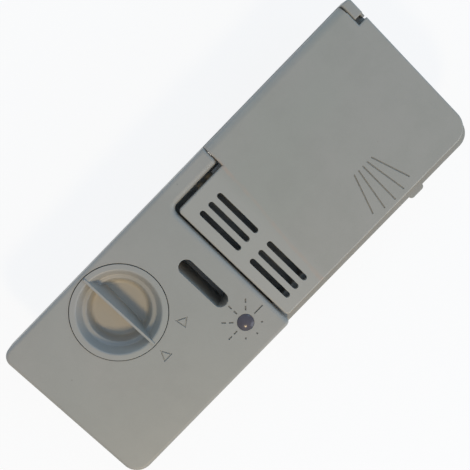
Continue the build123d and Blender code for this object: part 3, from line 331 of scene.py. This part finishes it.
def noise(bench, scale, detail=2.0, rough=0.5, place=None):
    inputs = {"Vector": place or bench.place, "Scale": scale, "Detail": detail, "Roughness": rough}
    return bench.add("ShaderNodeTexNoise", inputs=inputs)


def dress(bench, colour, roughness, height, depth, **fixed):
    """Links what varies to the shader, and sets what doesn't on its sockets."""
    eased = bench.add("ShaderNodeBevel", {"samples": EDGE_SAMPLES}, {"Radius": EDGE * MM})
    inputs = {"Strength": 1.0, "Distance": depth * MM, "Height": height, "Normal": eased}
    bump = bench.add("ShaderNodeBump", inputs=inputs)
    for name, wire in (("Base Color", colour), ("Roughness", roughness), ("Normal", bump)):
        bench.tree.links.new(wire.socket, bench.shader.inputs[name])
    for name, value in fixed.items():
        bench.shader.inputs[name.replace("_", " ")].default_value = value
    return bench.material


def shaded(tint, share):
    """The tint with only a share of its light."""
    return [c * share for c in tint[:3]] + [1.0]


CLOUD_SCALE = 14
CLOUD_SPAN = (0.40, 0.62)
TONE_SCALE = 60
TONE_SPAN = (0.35, 0.75)
TONE_SHARE = 0.45
TONE_ROUGH = 0.16
PIT_SPAN = (0.45, 0.7)
PIT_SHARE = 0.25
PIT_ROUGH = 0.12
PIT_HEIGHT = 0.7
CELL_SCALE = 0.45
FLECK_SCALE = 95
FLECK_SIZE = (0.05, 0.025)
FLECK_CHANCE = (0.80, 0.82)
FLECK_SHARE = 0.35
FLECK_LIGHT = 0.45


def plastic(name, tint, drift, gloss=0.46, grain=2600, mottle=0.10):
    """Grained moulding: tone drifts over centimetres, grain and specks over tenths of a mm."""
    bench = finish(name)
    cloud = noise(bench, CLOUD_SCALE, detail=3)
    tone = noise(bench, TONE_SCALE, detail=4, rough=0.6)
    pits = noise(bench, grain, detail=2)
    cell_inputs = {"Vector": bench.place, "Scale": grain * CELL_SCALE}
    cells = bench.add("ShaderNodeTexVoronoi", inputs=cell_inputs)
    speck = bench.add("ShaderNodeTexVoronoi", inputs={"Vector": bench.place, "Scale": FLECK_SCALE})
    chance = bench.add("ShaderNodeSeparateColor", inputs={0: speck.side("Color")})
    fleck = bench.step(speck, *FLECK_SIZE) * bench.step(chance, *FLECK_CHANCE)
    colour = bench.mix(bench.step(cloud, *CLOUD_SPAN), tint, drift)
    uneven = bench.step(tone, *TONE_SPAN) * TONE_SHARE + bench.step(pits, *PIT_SPAN) * PIT_SHARE
    colour = bench.mix(uneven, colour, shaded(tint, 1 - mottle))
    bench.colour = bench.mix(fleck * FLECK_SHARE, colour, shaded(tint, FLECK_LIGHT))
    bench.rough = gloss + (tone - 0.5) * TONE_ROUGH + (pits - 0.5) * PIT_ROUGH
    bench.height = pits * PIT_HEIGHT + cells * (1 - PIT_HEIGHT)
    return bench


FACE_TINT = hue(152, 150, 142)
FACE_DRIFT = hue(156, 152, 144)
SHADE_TINT = hue(58, 60, 53)
RECESS_SHADE = 0.60
cap_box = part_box("rinse_cap")
CAP_CENTRE = ((cap_box[0].x + cap_box[1].x) / 2, (cap_box[0].y + cap_box[1].y) / 2, 0.0)
SEAT_R = 25.2
SEAT_HIGH = 11.9
SEAT_LOW = 7.0
SEAT_SOFT = 0.1
SEAT_FADE = 0.4
SEAT_SHADE = 0.9
GRAIN_DEPTH = 0.03
GREY_SHINE = 0.42
RECESS = (-12.6, 16.0, -35.0, 36.3, 6.5, 1.0)


def inside(bench, spot, room):
    """1 in a room of the housing, given by its four sides and the heights where it fades in."""
    x0, x1, y0, y1, high, low = [value * MM for value in room]
    soft = 0.2 * MM
    mask = bench.step(spot.side("Z"), high, low)
    for name, edge, way in (("X", x0, 1), ("X", x1, -1), ("Y", y0, 1), ("Y", y1, -1)):
        mask = mask * bench.step(spot.side(name), edge - way * soft, edge + way * soft)
    return mask


face = plastic("face_grey", FACE_TINT, FACE_DRIFT)
face_spot = face.add("ShaderNodeSeparateXYZ", inputs={0: face.place})
from_cap = face.add(
    "ShaderNodeVectorMath", {"operation": "DISTANCE"},
    {0: face.add("ShaderNodeCombineXYZ", inputs={0: face_spot, 1: face_spot.side("Y")}), 1: CAP_CENTRE},
    out="Value",
)
seat_wall = face.step(from_cap, SEAT_R * MM, (SEAT_R - SEAT_SOFT) * MM)
seat_wall = seat_wall * face.step(face_spot.side("Z"), SEAT_HIGH * MM, (SEAT_HIGH - SEAT_FADE) * MM)
seat_wall = seat_wall * face.step(face_spot.side("Z"), SEAT_LOW * MM, (SEAT_LOW + SEAT_FADE) * MM)
# Painted shade: the recess under the tongue and the wall of the cap's seat are darkened where little
# light gets in.
painted_shade = inside(face, face_spot, RECESS) * RECESS_SHADE + seat_wall * SEAT_SHADE
face_colour = face.mix(painted_shade, face.colour, SHADE_TINT)
face_grey = dress(
    face, face_colour, face.rough, face.height, GRAIN_DEPTH, Specular_IOR_Level=GREY_SHINE,
)
housing = moulded("front_housing", "face_moulding", edge=0)
put(housing, face_grey, "housing", "face_plastic", "front_housing")

# Marks in the face: rays round the lens and two arrows beside the cap, all shallow strokes that
# thin ribs in the mould leave in the plastic. The rays get a thin dark filling: soil and painted shade.
FACE_Z = 12.0
FILL_SINK = 0.30
FILL_THICK = 0.08
lens_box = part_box("level_lens")
LENS_AT = tuple((a + b) / 2 / MM for a, b in zip(*lens_box))[:2]
RAY_COUNT = 8
RAY_NEAR = 6.2
RAY_FAR = 12.2
DASH = 2.2
DOT_NEAR = 1.6
DOT_FAR = 2.6
LAST_DASHED = 4
STROKE_WIDE = 0.66


def tree(name, sizes):
    """A geometry tree with a mesh inlet, a material inlet and named sizes."""
    group = bpy.data.node_groups.new(name, "GeometryNodeTree")
    group.interface.new_socket("Geometry", in_out="INPUT", socket_type="NodeSocketGeometry")
    group.interface.new_socket("Material", in_out="INPUT", socket_type="NodeSocketMaterial")
    for size in sizes:
        group.interface.new_socket(size, in_out="INPUT", socket_type="NodeSocketFloat")
    group.interface.new_socket("Geometry", in_out="OUTPUT", socket_type="NodeSocketGeometry")
    bench = Bench(group)
    bench.inlet = bench.add("NodeGroupInput")
    return bench


def close_tree(bench, shape):
    plain = bench.add("GeometryNodeRealizeInstances", inputs={"Geometry": shape})
    inputs = {"Geometry": plain, "Material": bench.inlet.side("Material")}
    done = bench.add("GeometryNodeSetMaterial", inputs=inputs)
    bench.add("NodeGroupOutput", inputs={0: done})


def grown(name, bench, material, sizes, points=(), edges=(), values=None, crease=38):
    """Runs a tree on a host of points and edges, and returns the plain mesh it makes."""
    host = bpy.data.meshes.new(name)
    host.from_pydata([Vector(p) * MM for p in points], edges, [])
    for key, numbers in (values or {}).items():
        host.attributes.new(key, "FLOAT", "POINT").data.foreach_set("value", numbers)
    piece = bpy.data.objects.new(name, host)
    scene.collection.objects.link(piece)
    grow = piece.modifiers.new("grow", "NODES")
    grow.node_group = bench.tree
    for item in bench.tree.interface.items_tree:
        if item.in_out == "INPUT" and item.name == "Material":
            grow[item.identifier] = material
        elif item.in_out == "INPUT" and item.name in sizes:
            grow[item.identifier] = float(sizes[item.name])
    return settled(piece, crease)


strokes = tree("strokes", ["Width", "Thickness"])
bar_size = strokes.add(
    "ShaderNodeCombineXYZ",
    inputs={"X": 1.0, "Y": strokes.inlet.side("Width"), "Z": strokes.inlet.side("Thickness")},
)
bar = strokes.add("GeometryNodeMeshCube", inputs={"Size": bar_size})
turn = strokes.add("GeometryNodeInputNamedAttribute", {"data_type": "FLOAT"}, {"Name": "turn"})
reach = strokes.add("GeometryNodeInputNamedAttribute", {"data_type": "FLOAT"}, {"Name": "reach"})
bar_turn = strokes.add("ShaderNodeCombineXYZ", inputs={"Z": turn})
bar_scale = strokes.add("ShaderNodeCombineXYZ", inputs={"X": reach, "Y": 1.0, "Z": 1.0})
bars = strokes.add(
    "GeometryNodeInstanceOnPoints",
    inputs={"Points": strokes.inlet, "Instance": bar, "Rotation": bar_turn, "Scale": bar_scale},
)
close_tree(strokes, bars)


def stroke_set(name, lines, width, material):
    """Fills engraved lines, each given as two ends on the face."""
    points, turns, lengths = [], [], []
    for (x0, y0), (x1, y1) in lines:
        points.append(((x0 + x1) / 2, (y0 + y1) / 2, FACE_Z - FILL_SINK - FILL_THICK / 2))
        turns.append(math.atan2(y1 - y0, x1 - x0))
        lengths.append(math.hypot(x1 - x0, y1 - y0) * MM)
    sizes = {"Width": width * MM, "Thickness": FILL_THICK * MM}
    return grown(name, strokes, material, sizes, points, values={"turn": turns, "reach": lengths})


FILL_SCALE = 900
FILL_LIGHT = 0.75
FILL_DEPTH = 0.05
FILL_ROUGH = 0.62
CLUMP_ROUGH = 0.2


def groove_filling(name, tint):
    """A grey filling for a stroke, partly dry soil and partly painted shade of the groove, darker in
    clumps.
    """
    bench = finish(name)
    clump = noise(bench, FILL_SCALE, detail=3)
    colour = bench.mix(clump, tint, shaded(tint, FILL_LIGHT))
    return dress(bench, colour, FILL_ROUGH + clump * CLUMP_ROUGH, clump, FILL_DEPTH)


# Painted shade: the rays' grey filling stands partly for soil and partly for the shade in the grooves.
mark_soil_and_shade = groove_filling("mark_soil_and_shade", hue(122, 120, 113))
ray_lines = []
for step in range(RAY_COUNT):
    angle = math.radians(360 / RAY_COUNT * step)
    spans = [(RAY_NEAR, RAY_FAR)]
    if 1 <= step <= LAST_DASHED:
        spans = [(RAY_NEAR, RAY_NEAR + DASH), (RAY_FAR - DASH, RAY_FAR)]
    elif step > LAST_DASHED:
        spans = [(RAY_NEAR + DOT_NEAR, RAY_NEAR + DOT_FAR)]
    for span in spans:
        ends = [(LENS_AT[0] + r * math.cos(angle), LENS_AT[1] + r * math.sin(angle)) for r in span]
        ray_lines.append(ends)
rays = stroke_set("lens_rays", ray_lines, STROKE_WIDE, mark_soil_and_shade)
put(rays, mark_soil_and_shade, "housing", "face_plastic")

# Flange gasket: a moulded rubber ring with two lips, pressed into the groove behind the
# flange, where the door sheet flattens it.
CORNER_STEPS = 12
sweep = tree("sweep", ["Length", "Width", "Corner", "Middle", "Level"])
loop = sweep.add(
    "GeometryNodeCurvePrimitiveQuadrilateral",
    inputs={"Width": sweep.inlet.side("Length"), "Height": sweep.inlet.side("Width")},
)
loop = sweep.add(
    "GeometryNodeFilletCurve",
    {"mode": "POLY"},
    {"Curve": loop, "Radius": sweep.inlet.side("Corner"), "Count": CORNER_STEPS, "Limit Radius": True},
)
loop = sweep.add("GeometryNodeSetCurveNormal", {"mode": "Z_UP"}, {"Curve": loop})
rim = sweep.add("GeometryNodeMeshToCurve", inputs={"Mesh": sweep.inlet})
band = sweep.add("GeometryNodeCurveToMesh", inputs={"Curve": loop, "Profile Curve": rim})
shift = sweep.add(
    "ShaderNodeCombineXYZ",
    inputs={"X": sweep.inlet.side("Middle"), "Z": sweep.inlet.side("Level")},
)
band = sweep.add("GeometryNodeTransform", inputs={"Geometry": band, "Translation": shift})
close_tree(sweep, band)


SEAM_GAP = 1e-7


def swept(name, profile, length, width, corner, middle, level, material):
    """A closed section carried round a rounded rectangle in the plane of the face."""
    edges = [(i, (i + 1) % len(profile)) for i in range(len(profile))]
    sizes = {"Length": length, "Width": width, "Corner": corner, "Middle": middle, "Level": level}
    sizes = {key: value * MM for key, value in sizes.items()}
    piece = grown(name, sweep, material, sizes, [(x, y, 0) for x, y in profile], edges)
    ring = bmesh.new()
    ring.from_mesh(piece.data)
    bmesh.ops.remove_doubles(ring, verts=ring.verts, dist=SEAM_GAP)
    bmesh.ops.recalc_face_normals(ring, faces=ring.faces)
    ring.to_mesh(piece.data)
    ring.free()
    return piece


DUST_SCALE = 120
SKIN_SCALE = 3200
SKIN_DEPTH = 0.02
BLOOM_SPAN = (0.45, 0.75)
BLOOM_SHARE = 0.5
BLOOM_GAIN = 2.4
BLOOM_LIFT = 0.01
BLOOM_ROUGH = 0.25
RUBBER_ROUGH = 0.55
RUBBER_SHINE = 0.35


def rubber(name, tint):
    """Moulded rubber: nearly black, dusty in patches, with a faint satin skin."""
    bench = finish(name)
    dust = noise(bench, DUST_SCALE, detail=4, rough=0.65)
    skin = noise(bench, SKIN_SCALE, detail=2)
    bloom = bench.step(dust, *BLOOM_SPAN)
    dusty = [c * BLOOM_GAIN + BLOOM_LIFT for c in tint[:3]] + [1.0]
    colour = bench.mix(bloom * BLOOM_SHARE, tint, dusty)
    roughness = RUBBER_ROUGH + bloom * BLOOM_ROUGH
    return dress(bench, colour, roughness, skin, SKIN_DEPTH, Specular_IOR_Level=RUBBER_SHINE)


seal_black = rubber("seal_black", hue(36, 36, 37))
gasket_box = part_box("flange_gasket")
gasket_size = (gasket_box[1] - gasket_box[0]) / MM
GASKET_WIDE = 2.7
GASKET_HIGH = 1.6
GASKET_CORNER = 12.0
LIP_EASE = 0.25
LIP_GAP_HALF = 0.35
LIP_GAP_DEEP = 0.30
gasket_profile = [
    (-GASKET_WIDE / 2, LIP_EASE),
    (-GASKET_WIDE / 2 + LIP_EASE, 0.0),
    (-LIP_GAP_HALF, 0.0),
    (0.0, LIP_GAP_DEEP),
    (LIP_GAP_HALF, 0.0),
    (GASKET_WIDE / 2 - LIP_EASE, 0.0),
    (GASKET_WIDE / 2, LIP_EASE),
    (GASKET_WIDE / 2, GASKET_HIGH),
    (-GASKET_WIDE / 2, GASKET_HIGH),
]
gasket = swept(
    "flange_gasket_ring", gasket_profile,
    gasket_size.x - GASKET_WIDE, gasket_size.y - GASKET_WIDE, GASKET_CORNER,
    (gasket_box[0].x + gasket_box[1].x) / 2 / MM, 0.0, seal_black,
)
put(gasket, seal_black, "housing", "seal_rubber", "flange_gasket")

# Tank shell: milky polypropylene tub, hot-plate welded to the ring wall of the housing. Flow
# lines from the gate show faintly in its wall.
MILK_TINTS = (hue(214, 216, 210), hue(199, 202, 197))
FLOW_TINT = hue(226, 226, 219)
FLOW_SHARE = 0.10
HAZE_SCALE = 35
HAZE_SPAN = (0.35, 0.7)
HAZE_ROUGH = 0.14
TANK_ROUGH = 0.42
TANK_GRAIN = 1400
TANK_DEPTH = 0.02
bench = finish("tank_milky")
haze = noise(bench, HAZE_SCALE, detail=4)
flow = bench.add(
    "ShaderNodeTexWave",
    {"wave_type": "RINGS"},
    {"Vector": bench.place, "Scale": 9.0, "Distortion": 6.0, "Detail": 3.0},
)
milk = bench.mix(bench.step(haze, *HAZE_SPAN), *MILK_TINTS)
milk = bench.mix(flow.side("Fac") * FLOW_SHARE, milk, FLOW_TINT)
tank_milky = dress(
    bench, milk, TANK_ROUGH + haze * HAZE_ROUGH, noise(bench, TANK_GRAIN), TANK_DEPTH,
    Subsurface_Weight=0.25, Subsurface_Scale=0.004,
)
tank = moulded("tank_shell", "tank_tub")
put(tank, tank_milky, "housing", "tank_plastic", "tank_shell")

# Level lens: clear moulded dome with a prism that reaches into the tank. Its colour is painted a
# dark smoky grey, painted shade for the unlit tank seen through it, with a bright glint. A washer
# and a push-on ring hold it from behind.
LENS_DARK_TINTS = (hue(60, 57, 64), hue(84, 79, 88))
SWIRL_SCALE = 420
SWIRL_DEPTH = 0.02
SWIRL_ROUGH = 0.12
LENS_ROUGH = 0.16
ACETAL_DEPTH = 0.015
SMALL_EDGE = 0.12
bench = finish("lens_painted_dark")
swirl = noise(bench, SWIRL_SCALE, detail=3)
# Painted shade: the dark of the unlit tank, seen through the clear dome, is painted into its colour.
lens_tint = bench.mix(swirl, *LENS_DARK_TINTS)
lens_painted_dark = dress(
    bench, lens_tint, LENS_ROUGH + swirl * SWIRL_ROUGH, swirl, SWIRL_DEPTH,
    IOR=1.49, Specular_IOR_Level=0.35,
)
lens = moulded("level_lens", "level_lens_dome", edge=SMALL_EDGE)
put(lens, lens_painted_dark, "housing", "clear_plastic", "level_lens")
acetal = plastic(
    "acetal_white", hue(226, 226, 221), hue(220, 218, 209), gloss=0.38, grain=1500, mottle=0.05,
)
acetal_white = dress(acetal, acetal.colour, acetal.rough, acetal.height, ACETAL_DEPTH)
for node, material, slot in (
    ("lens_seal", seal_black, "seal_rubber"),
    ("lens_retainer", acetal_white, "acetal"),
):
    put(moulded(node, node + "_ring", edge=SMALL_EDGE), material, "housing", slot, node)

# Hinge: a drawn stainless pin through strip, barrel and post, and a torsion spring wound
# round it. One leg of the spring bears on the deck and the other under the lid.
STREAK_SCALE = 1800
STREAK_DEPTH = 0.01
STREAK_ROUGH = 0.14
DULL_SCALE = 160
DULL_ROUGH = 0.12
DULL_SHARE = 0.5
DULL_LIGHT = 0.75
SPRING_EDGE = 0.08


def steel(name, tint, polish, streak):
    """Drawn or plated steel: fine streaks along the work and a dull bloom in patches."""
    bench = finish(name)
    stretch = bench.add("ShaderNodeMapping", inputs={"Vector": bench.place, "Scale": streak})
    lines = noise(bench, STREAK_SCALE, detail=3, place=stretch)
    dull = bench.step(noise(bench, DULL_SCALE, detail=3), *BLOOM_SPAN)
    colour = bench.mix(dull * DULL_SHARE, tint, shaded(tint, DULL_LIGHT))
    roughness = polish + lines * STREAK_ROUGH + dull * DULL_ROUGH
    return dress(bench, colour, roughness, lines, STREAK_DEPTH, Metallic=1.0)


pin_steel = steel("pin_steel", hue(206, 206, 204), 0.16, (0.05, 1.0, 1.0))
put(moulded("hinge_pin", "hinge_rod"), pin_steel, "housing", "pin_steel", "hinge_pin")
spring_steel = steel("spring_steel", hue(192, 193, 196), 0.20, (1.0, 1.0, 1.0))
lid_spring = moulded("lid_spring", "lid_torsion_spring", edge=SPRING_EDGE)
lid_spring.data.materials.append(spring_steel)
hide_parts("lid_spring")
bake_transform(lid_spring)

# Lid: grey moulding like the face, with a louvred tongue over the prewash recess. Where the
# tongue bends, the grey has turned faintly rusty along a crooked line.
CREASE_TOP = (21.0, 30.0)
CREASE_LOW = (16.0, -42.0)
CREASE_HALF = 1.5
CREASE_CORE = 0.2
CREASE_WANDER = 5
WANDER_SCALE = 70
PATCH_SCALE = 130
PATCH_SPAN = (0.35, 0.65)
RUST_LEAST = 0.15
RUST_PATCH = 0.4
RUST_TINT = hue(171, 150, 134)
TONGUE_FROM = 22
TONGUE_FULL = 14
TONGUE_SHARE = 0.6
TONGUE_TINT = hue(164, 160, 151)
LID_TINT = hue(154, 152, 142)
LID_DRIFT = hue(157, 153, 144)
lid_paint = plastic("lid_grey", LID_TINT, LID_DRIFT)
spot = lid_paint.add("ShaderNodeSeparateXYZ", inputs={0: lid_paint.place})
lean = (CREASE_TOP[0] - CREASE_LOW[0]) / (CREASE_TOP[1] - CREASE_LOW[1])
wander = (noise(lid_paint, WANDER_SCALE, detail=3) - 0.5) * (CREASE_WANDER * MM)
off_line = spot - (spot.side("Y") - CREASE_LOW[1] * MM) * lean - CREASE_LOW[0] * MM + wander
line_mask = lid_paint.step(off_line.size(), CREASE_HALF * MM, CREASE_CORE * CREASE_HALF * MM)
patchy = lid_paint.step(noise(lid_paint, PATCH_SCALE, detail=3), *PATCH_SPAN)
tongue = lid_paint.step(spot, TONGUE_FROM * MM, TONGUE_FULL * MM)
lid_colour = lid_paint.mix(tongue * TONGUE_SHARE, lid_paint.colour, TONGUE_TINT)
lid_colour = lid_paint.mix(line_mask * (RUST_LEAST + patchy * RUST_PATCH), lid_colour, RUST_TINT)
lid_grey = dress(
    lid_paint, lid_colour, lid_paint.rough, lid_paint.height, GRAIN_DEPTH, Specular_IOR_Level=GREY_SHINE,
)
lid = moulded("lid", "lid_moulding", edge=0)
put(lid, lid_grey, "lid", "lid_plastic", "lid")
SPRAY_X = 70.4
SPRAY_Y = -17.0
SPRAY_PITCH = 3.05
SPRAY_FAN = 9.2
SPRAY_LONG = 24.0
SPRAY_SHORTER = 0.5
spray_lines = []
for row in (-2, -1, 0, 1, 2):
    angle = math.radians(-90 + SPRAY_FAN * row)
    x = SPRAY_X + SPRAY_PITCH * row
    length = SPRAY_LONG - SPRAY_SHORTER * row**2
    end = (x + length * math.cos(angle), SPRAY_Y + length * math.sin(angle))
    spray_lines.append([(x, SPRAY_Y), end])
# The spray strokes get a pale filling too, partly soil and partly painted shade in the grooves.
spray_soil_and_shade = groove_filling("spray_soil_and_shade", hue(146, 142, 132))
spray = stroke_set("spray_strokes", spray_lines, STROKE_WIDE, spray_soil_and_shade)
put(spray, spray_soil_and_shade, "lid", "lid_plastic")
put(moulded("lid_seal", "lid_seal_frame", edge=0), seal_black, "lid", "seal_rubber", "lid_seal")

# Rinse-aid cap: dished grey cap with a pointed grip across it. Its dish is painted warm beige,
# most on the floor: a painted pool of the warm light that reaches in. A rubber ring on its plug
# seals the neck.
DISH_TOP = 8.0
DISH_DEEP = 2.0
FLOOR_EDGE = 3.4
FLOOR_FLAT = 2.2
WALL_SHARE = 0.35
WARM_LIGHT_SHARE = 0.9
WARM_LIGHT_TINT = hue(168, 160, 145)
CAP_TINT = hue(152, 151, 143)
CAP_DRIFT = hue(155, 151, 144)
CAP_DEPTH = 0.02
CAP_SHINE = 0.45
RING_EDGE = 0.05
cap_paint = plastic("cap_grey", CAP_TINT, CAP_DRIFT)
cap_spot = cap_paint.add("ShaderNodeSeparateXYZ", inputs={0: cap_paint.place})
cap_z = cap_spot.side("Z")
# Painted light: the grey turns warm beige deeper in the dish, fully on the floor and partly on the
# walls.
depth_mask = cap_paint.step(cap_z, DISH_TOP * MM, DISH_DEEP * MM)
floor_mask = depth_mask * cap_paint.step(cap_z, FLOOR_EDGE * MM, FLOOR_FLAT * MM, WALL_SHARE, 1.0)
cap_colour = cap_paint.mix(floor_mask * WARM_LIGHT_SHARE, cap_paint.colour, WARM_LIGHT_TINT)
cap_grey = dress(
    cap_paint, cap_colour, cap_paint.rough, cap_paint.height, CAP_DEPTH, Specular_IOR_Level=CAP_SHINE,
)
cap = moulded("rinse_cap", "rinse_cap_dish", edge=0)
put(cap, cap_grey, "cap", "cap_plastic", "rinse_cap")
put(moulded("cap_ring", "cap_ring_seal", edge=RING_EDGE), seal_black, "cap", "seal_rubber", "cap_ring")

# Latch slider: one grey moulding in the plastic of the face. Its edge holds the lid's catch, the
# plunger's head pulls it, and its rounded end shows at the latch edge as a push button.
latch = moulded("latch_slider", "latch_slide", edge=0)
put(latch, face_grey, "latch", "face_plastic", "latch_slider")

# Coil: folded zinc-plated yoke, white bobbin, copper winding in close turns, steel stop and
# two tinned brass blades. Two screws hold the yoke under the deck.
METAL_EDGE = 0.15
COIL_STEPS = 28
WIRE_SIDES = 8
zinc_steel = steel("zinc_steel", hue(190, 190, 186), 0.28, (1.0, 0.2, 1.0))
brass_tin = steel("brass_tin", hue(206, 190, 148), 0.22, (1.0, 1.0, 0.1))
for node, name, material, slot in (
    ("coil_yoke", "coil_yoke_strip", zinc_steel, "zinc_steel"),
    ("coil_bobbin", "coil_bobbin_reel", acetal_white, "acetal"),
    ("fixed_core", "fixed_core_stop", zinc_steel, "zinc_steel"),
    ("coil_terminals", "coil_blades", brass_tin, "blade_brass"),
    ("yoke_screws", "yoke_screw_pair", zinc_steel, "zinc_steel"),
):
    put(moulded(node, name, edge=METAL_EDGE), material, "housing", slot, node)
coils = tree("coils", ["Radius", "Length", "Turns", "Wire"])
helix = coils.add(
    "GeometryNodeCurveSpiral",
    inputs={
        "Resolution": COIL_STEPS,
        "Rotations": coils.inlet.side("Turns"),
        "Start Radius": coils.inlet.side("Radius"),
        "End Radius": coils.inlet.side("Radius"),
        "Height": coils.inlet.side("Length"),
    },
)
wire_ring = coils.add(
    "GeometryNodeCurvePrimitiveCircle",
    inputs={"Resolution": WIRE_SIDES, "Radius": coils.inlet.side("Wire")},
)
coil_tube = coils.add(
    "GeometryNodeCurveToMesh",
    inputs={"Curve": helix, "Profile Curve": wire_ring, "Fill Caps": True},
)
along_y = (-math.pi / 2, 0, 0)
laid = coils.add("GeometryNodeTransform", inputs={"Geometry": coil_tube, "Rotation": along_y})
close_tree(coils, laid)


def wound(name, radius, length, turns, wire, at, material):
    """A helix of wire along Y that starts at a point."""
    sizes = {"Radius": radius * MM, "Length": length * MM, "Turns": turns, "Wire": wire * MM}
    piece = grown(name, coils, material, sizes, [(0, 0, 0)])
    piece.data.transform(Matrix.Translation(Vector(at) * MM))
    return piece


copper = steel("winding_copper", hue(196, 118, 74), 0.24, (1.0, 1.0, 1.0))
WIRE_R = 0.35
TURN_PITCH = 2.02 * WIRE_R
winding_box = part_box("coil_winding")
winding_y = [winding_box[0].y / MM + WIRE_R, winding_box[1].y / MM - WIRE_R]
winding_mid = [(a + b) / 2 / MM for a, b in zip(*winding_box)]
winding_r = (winding_box[1].x - winding_box[0].x) / 2 / MM - WIRE_R
winding_long = winding_y[1] - winding_y[0]
winding = wound(
    "coil_windings", winding_r, winding_long, winding_long / TURN_PITCH,
    WIRE_R, (winding_mid[0], winding_y[0], winding_mid[2]), copper,
)
put(winding, copper, "housing", "winding_wire", "coil_winding")

# Plunger: turned steel with a neck that pulls the slider, its cross pin, and the return
# spring between its collar and the yoke.
put(moulded("plunger", "plunger_rod"), zinc_steel, "plunger", "zinc_steel", "plunger")
put(moulded("link_pin", "link_pin_rod"), pin_steel, "plunger", "pin_steel", "link_pin")
back_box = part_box("plunger_spring")
back_mid = [(a + b) / 2 / MM for a, b in zip(*back_box)]
BACK_WIRE = 0.45
BACK_TURNS = 3.5
back_r = (back_box[1].x - back_box[0].x) / 2 / MM - BACK_WIRE
back_y = [back_box[0].y / MM + BACK_WIRE, back_box[1].y / MM - BACK_WIRE]
back_spring = wound(
    "plunger_return_spring", back_r, back_y[1] - back_y[0], BACK_TURNS, BACK_WIRE,
    (back_mid[0], back_y[0], back_mid[2]), spring_steel,
)
put(back_spring, spring_steel, "housing", "spring_wire", "plunger_spring")
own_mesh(back_spring)

# Dosing train: white bell crank on a steel pivot, the rod under the cup, and the rubber disc
# and gland at the tank.
for node, name, material, body, slot in (
    ("crank", "bell_crank", acetal_white, "crank", "acetal"),
    ("crank_pivot", "crank_pivot_pin", pin_steel, "housing", "pin_steel"),
    ("dosing_rod", "dosing_bar", acetal_white, "dosing", "acetal"),
    ("valve_disc", "valve_disc_pad", seal_black, "dosing", "seal_rubber"),
    ("rod_gland", "rod_gland_ring", seal_black, "housing", "seal_rubber"),
):
    put(moulded(node, name, edge=SMALL_EDGE), material, body, slot, node)

# Rear cover: darker grey moulded tub over the coil and the rod, with a socket for the plug. Four
# zinc-plated screws hold it to the housing.
COVER_DEPTH = 0.04
cover_paint = plastic("cover_grey", hue(124, 125, 122), hue(128, 126, 122), grain=1800)
cover_grey = dress(cover_paint, cover_paint.colour, cover_paint.rough, cover_paint.height, COVER_DEPTH)
put(moulded("rear_cover", "rear_tub", edge=0), cover_grey, "housing", "cover_plastic", "rear_cover")
cover_screws = moulded("cover_screws", "cover_screw_set", edge=METAL_EDGE)
put(cover_screws, zinc_steel, "housing", "zinc_steel", "cover_screws")
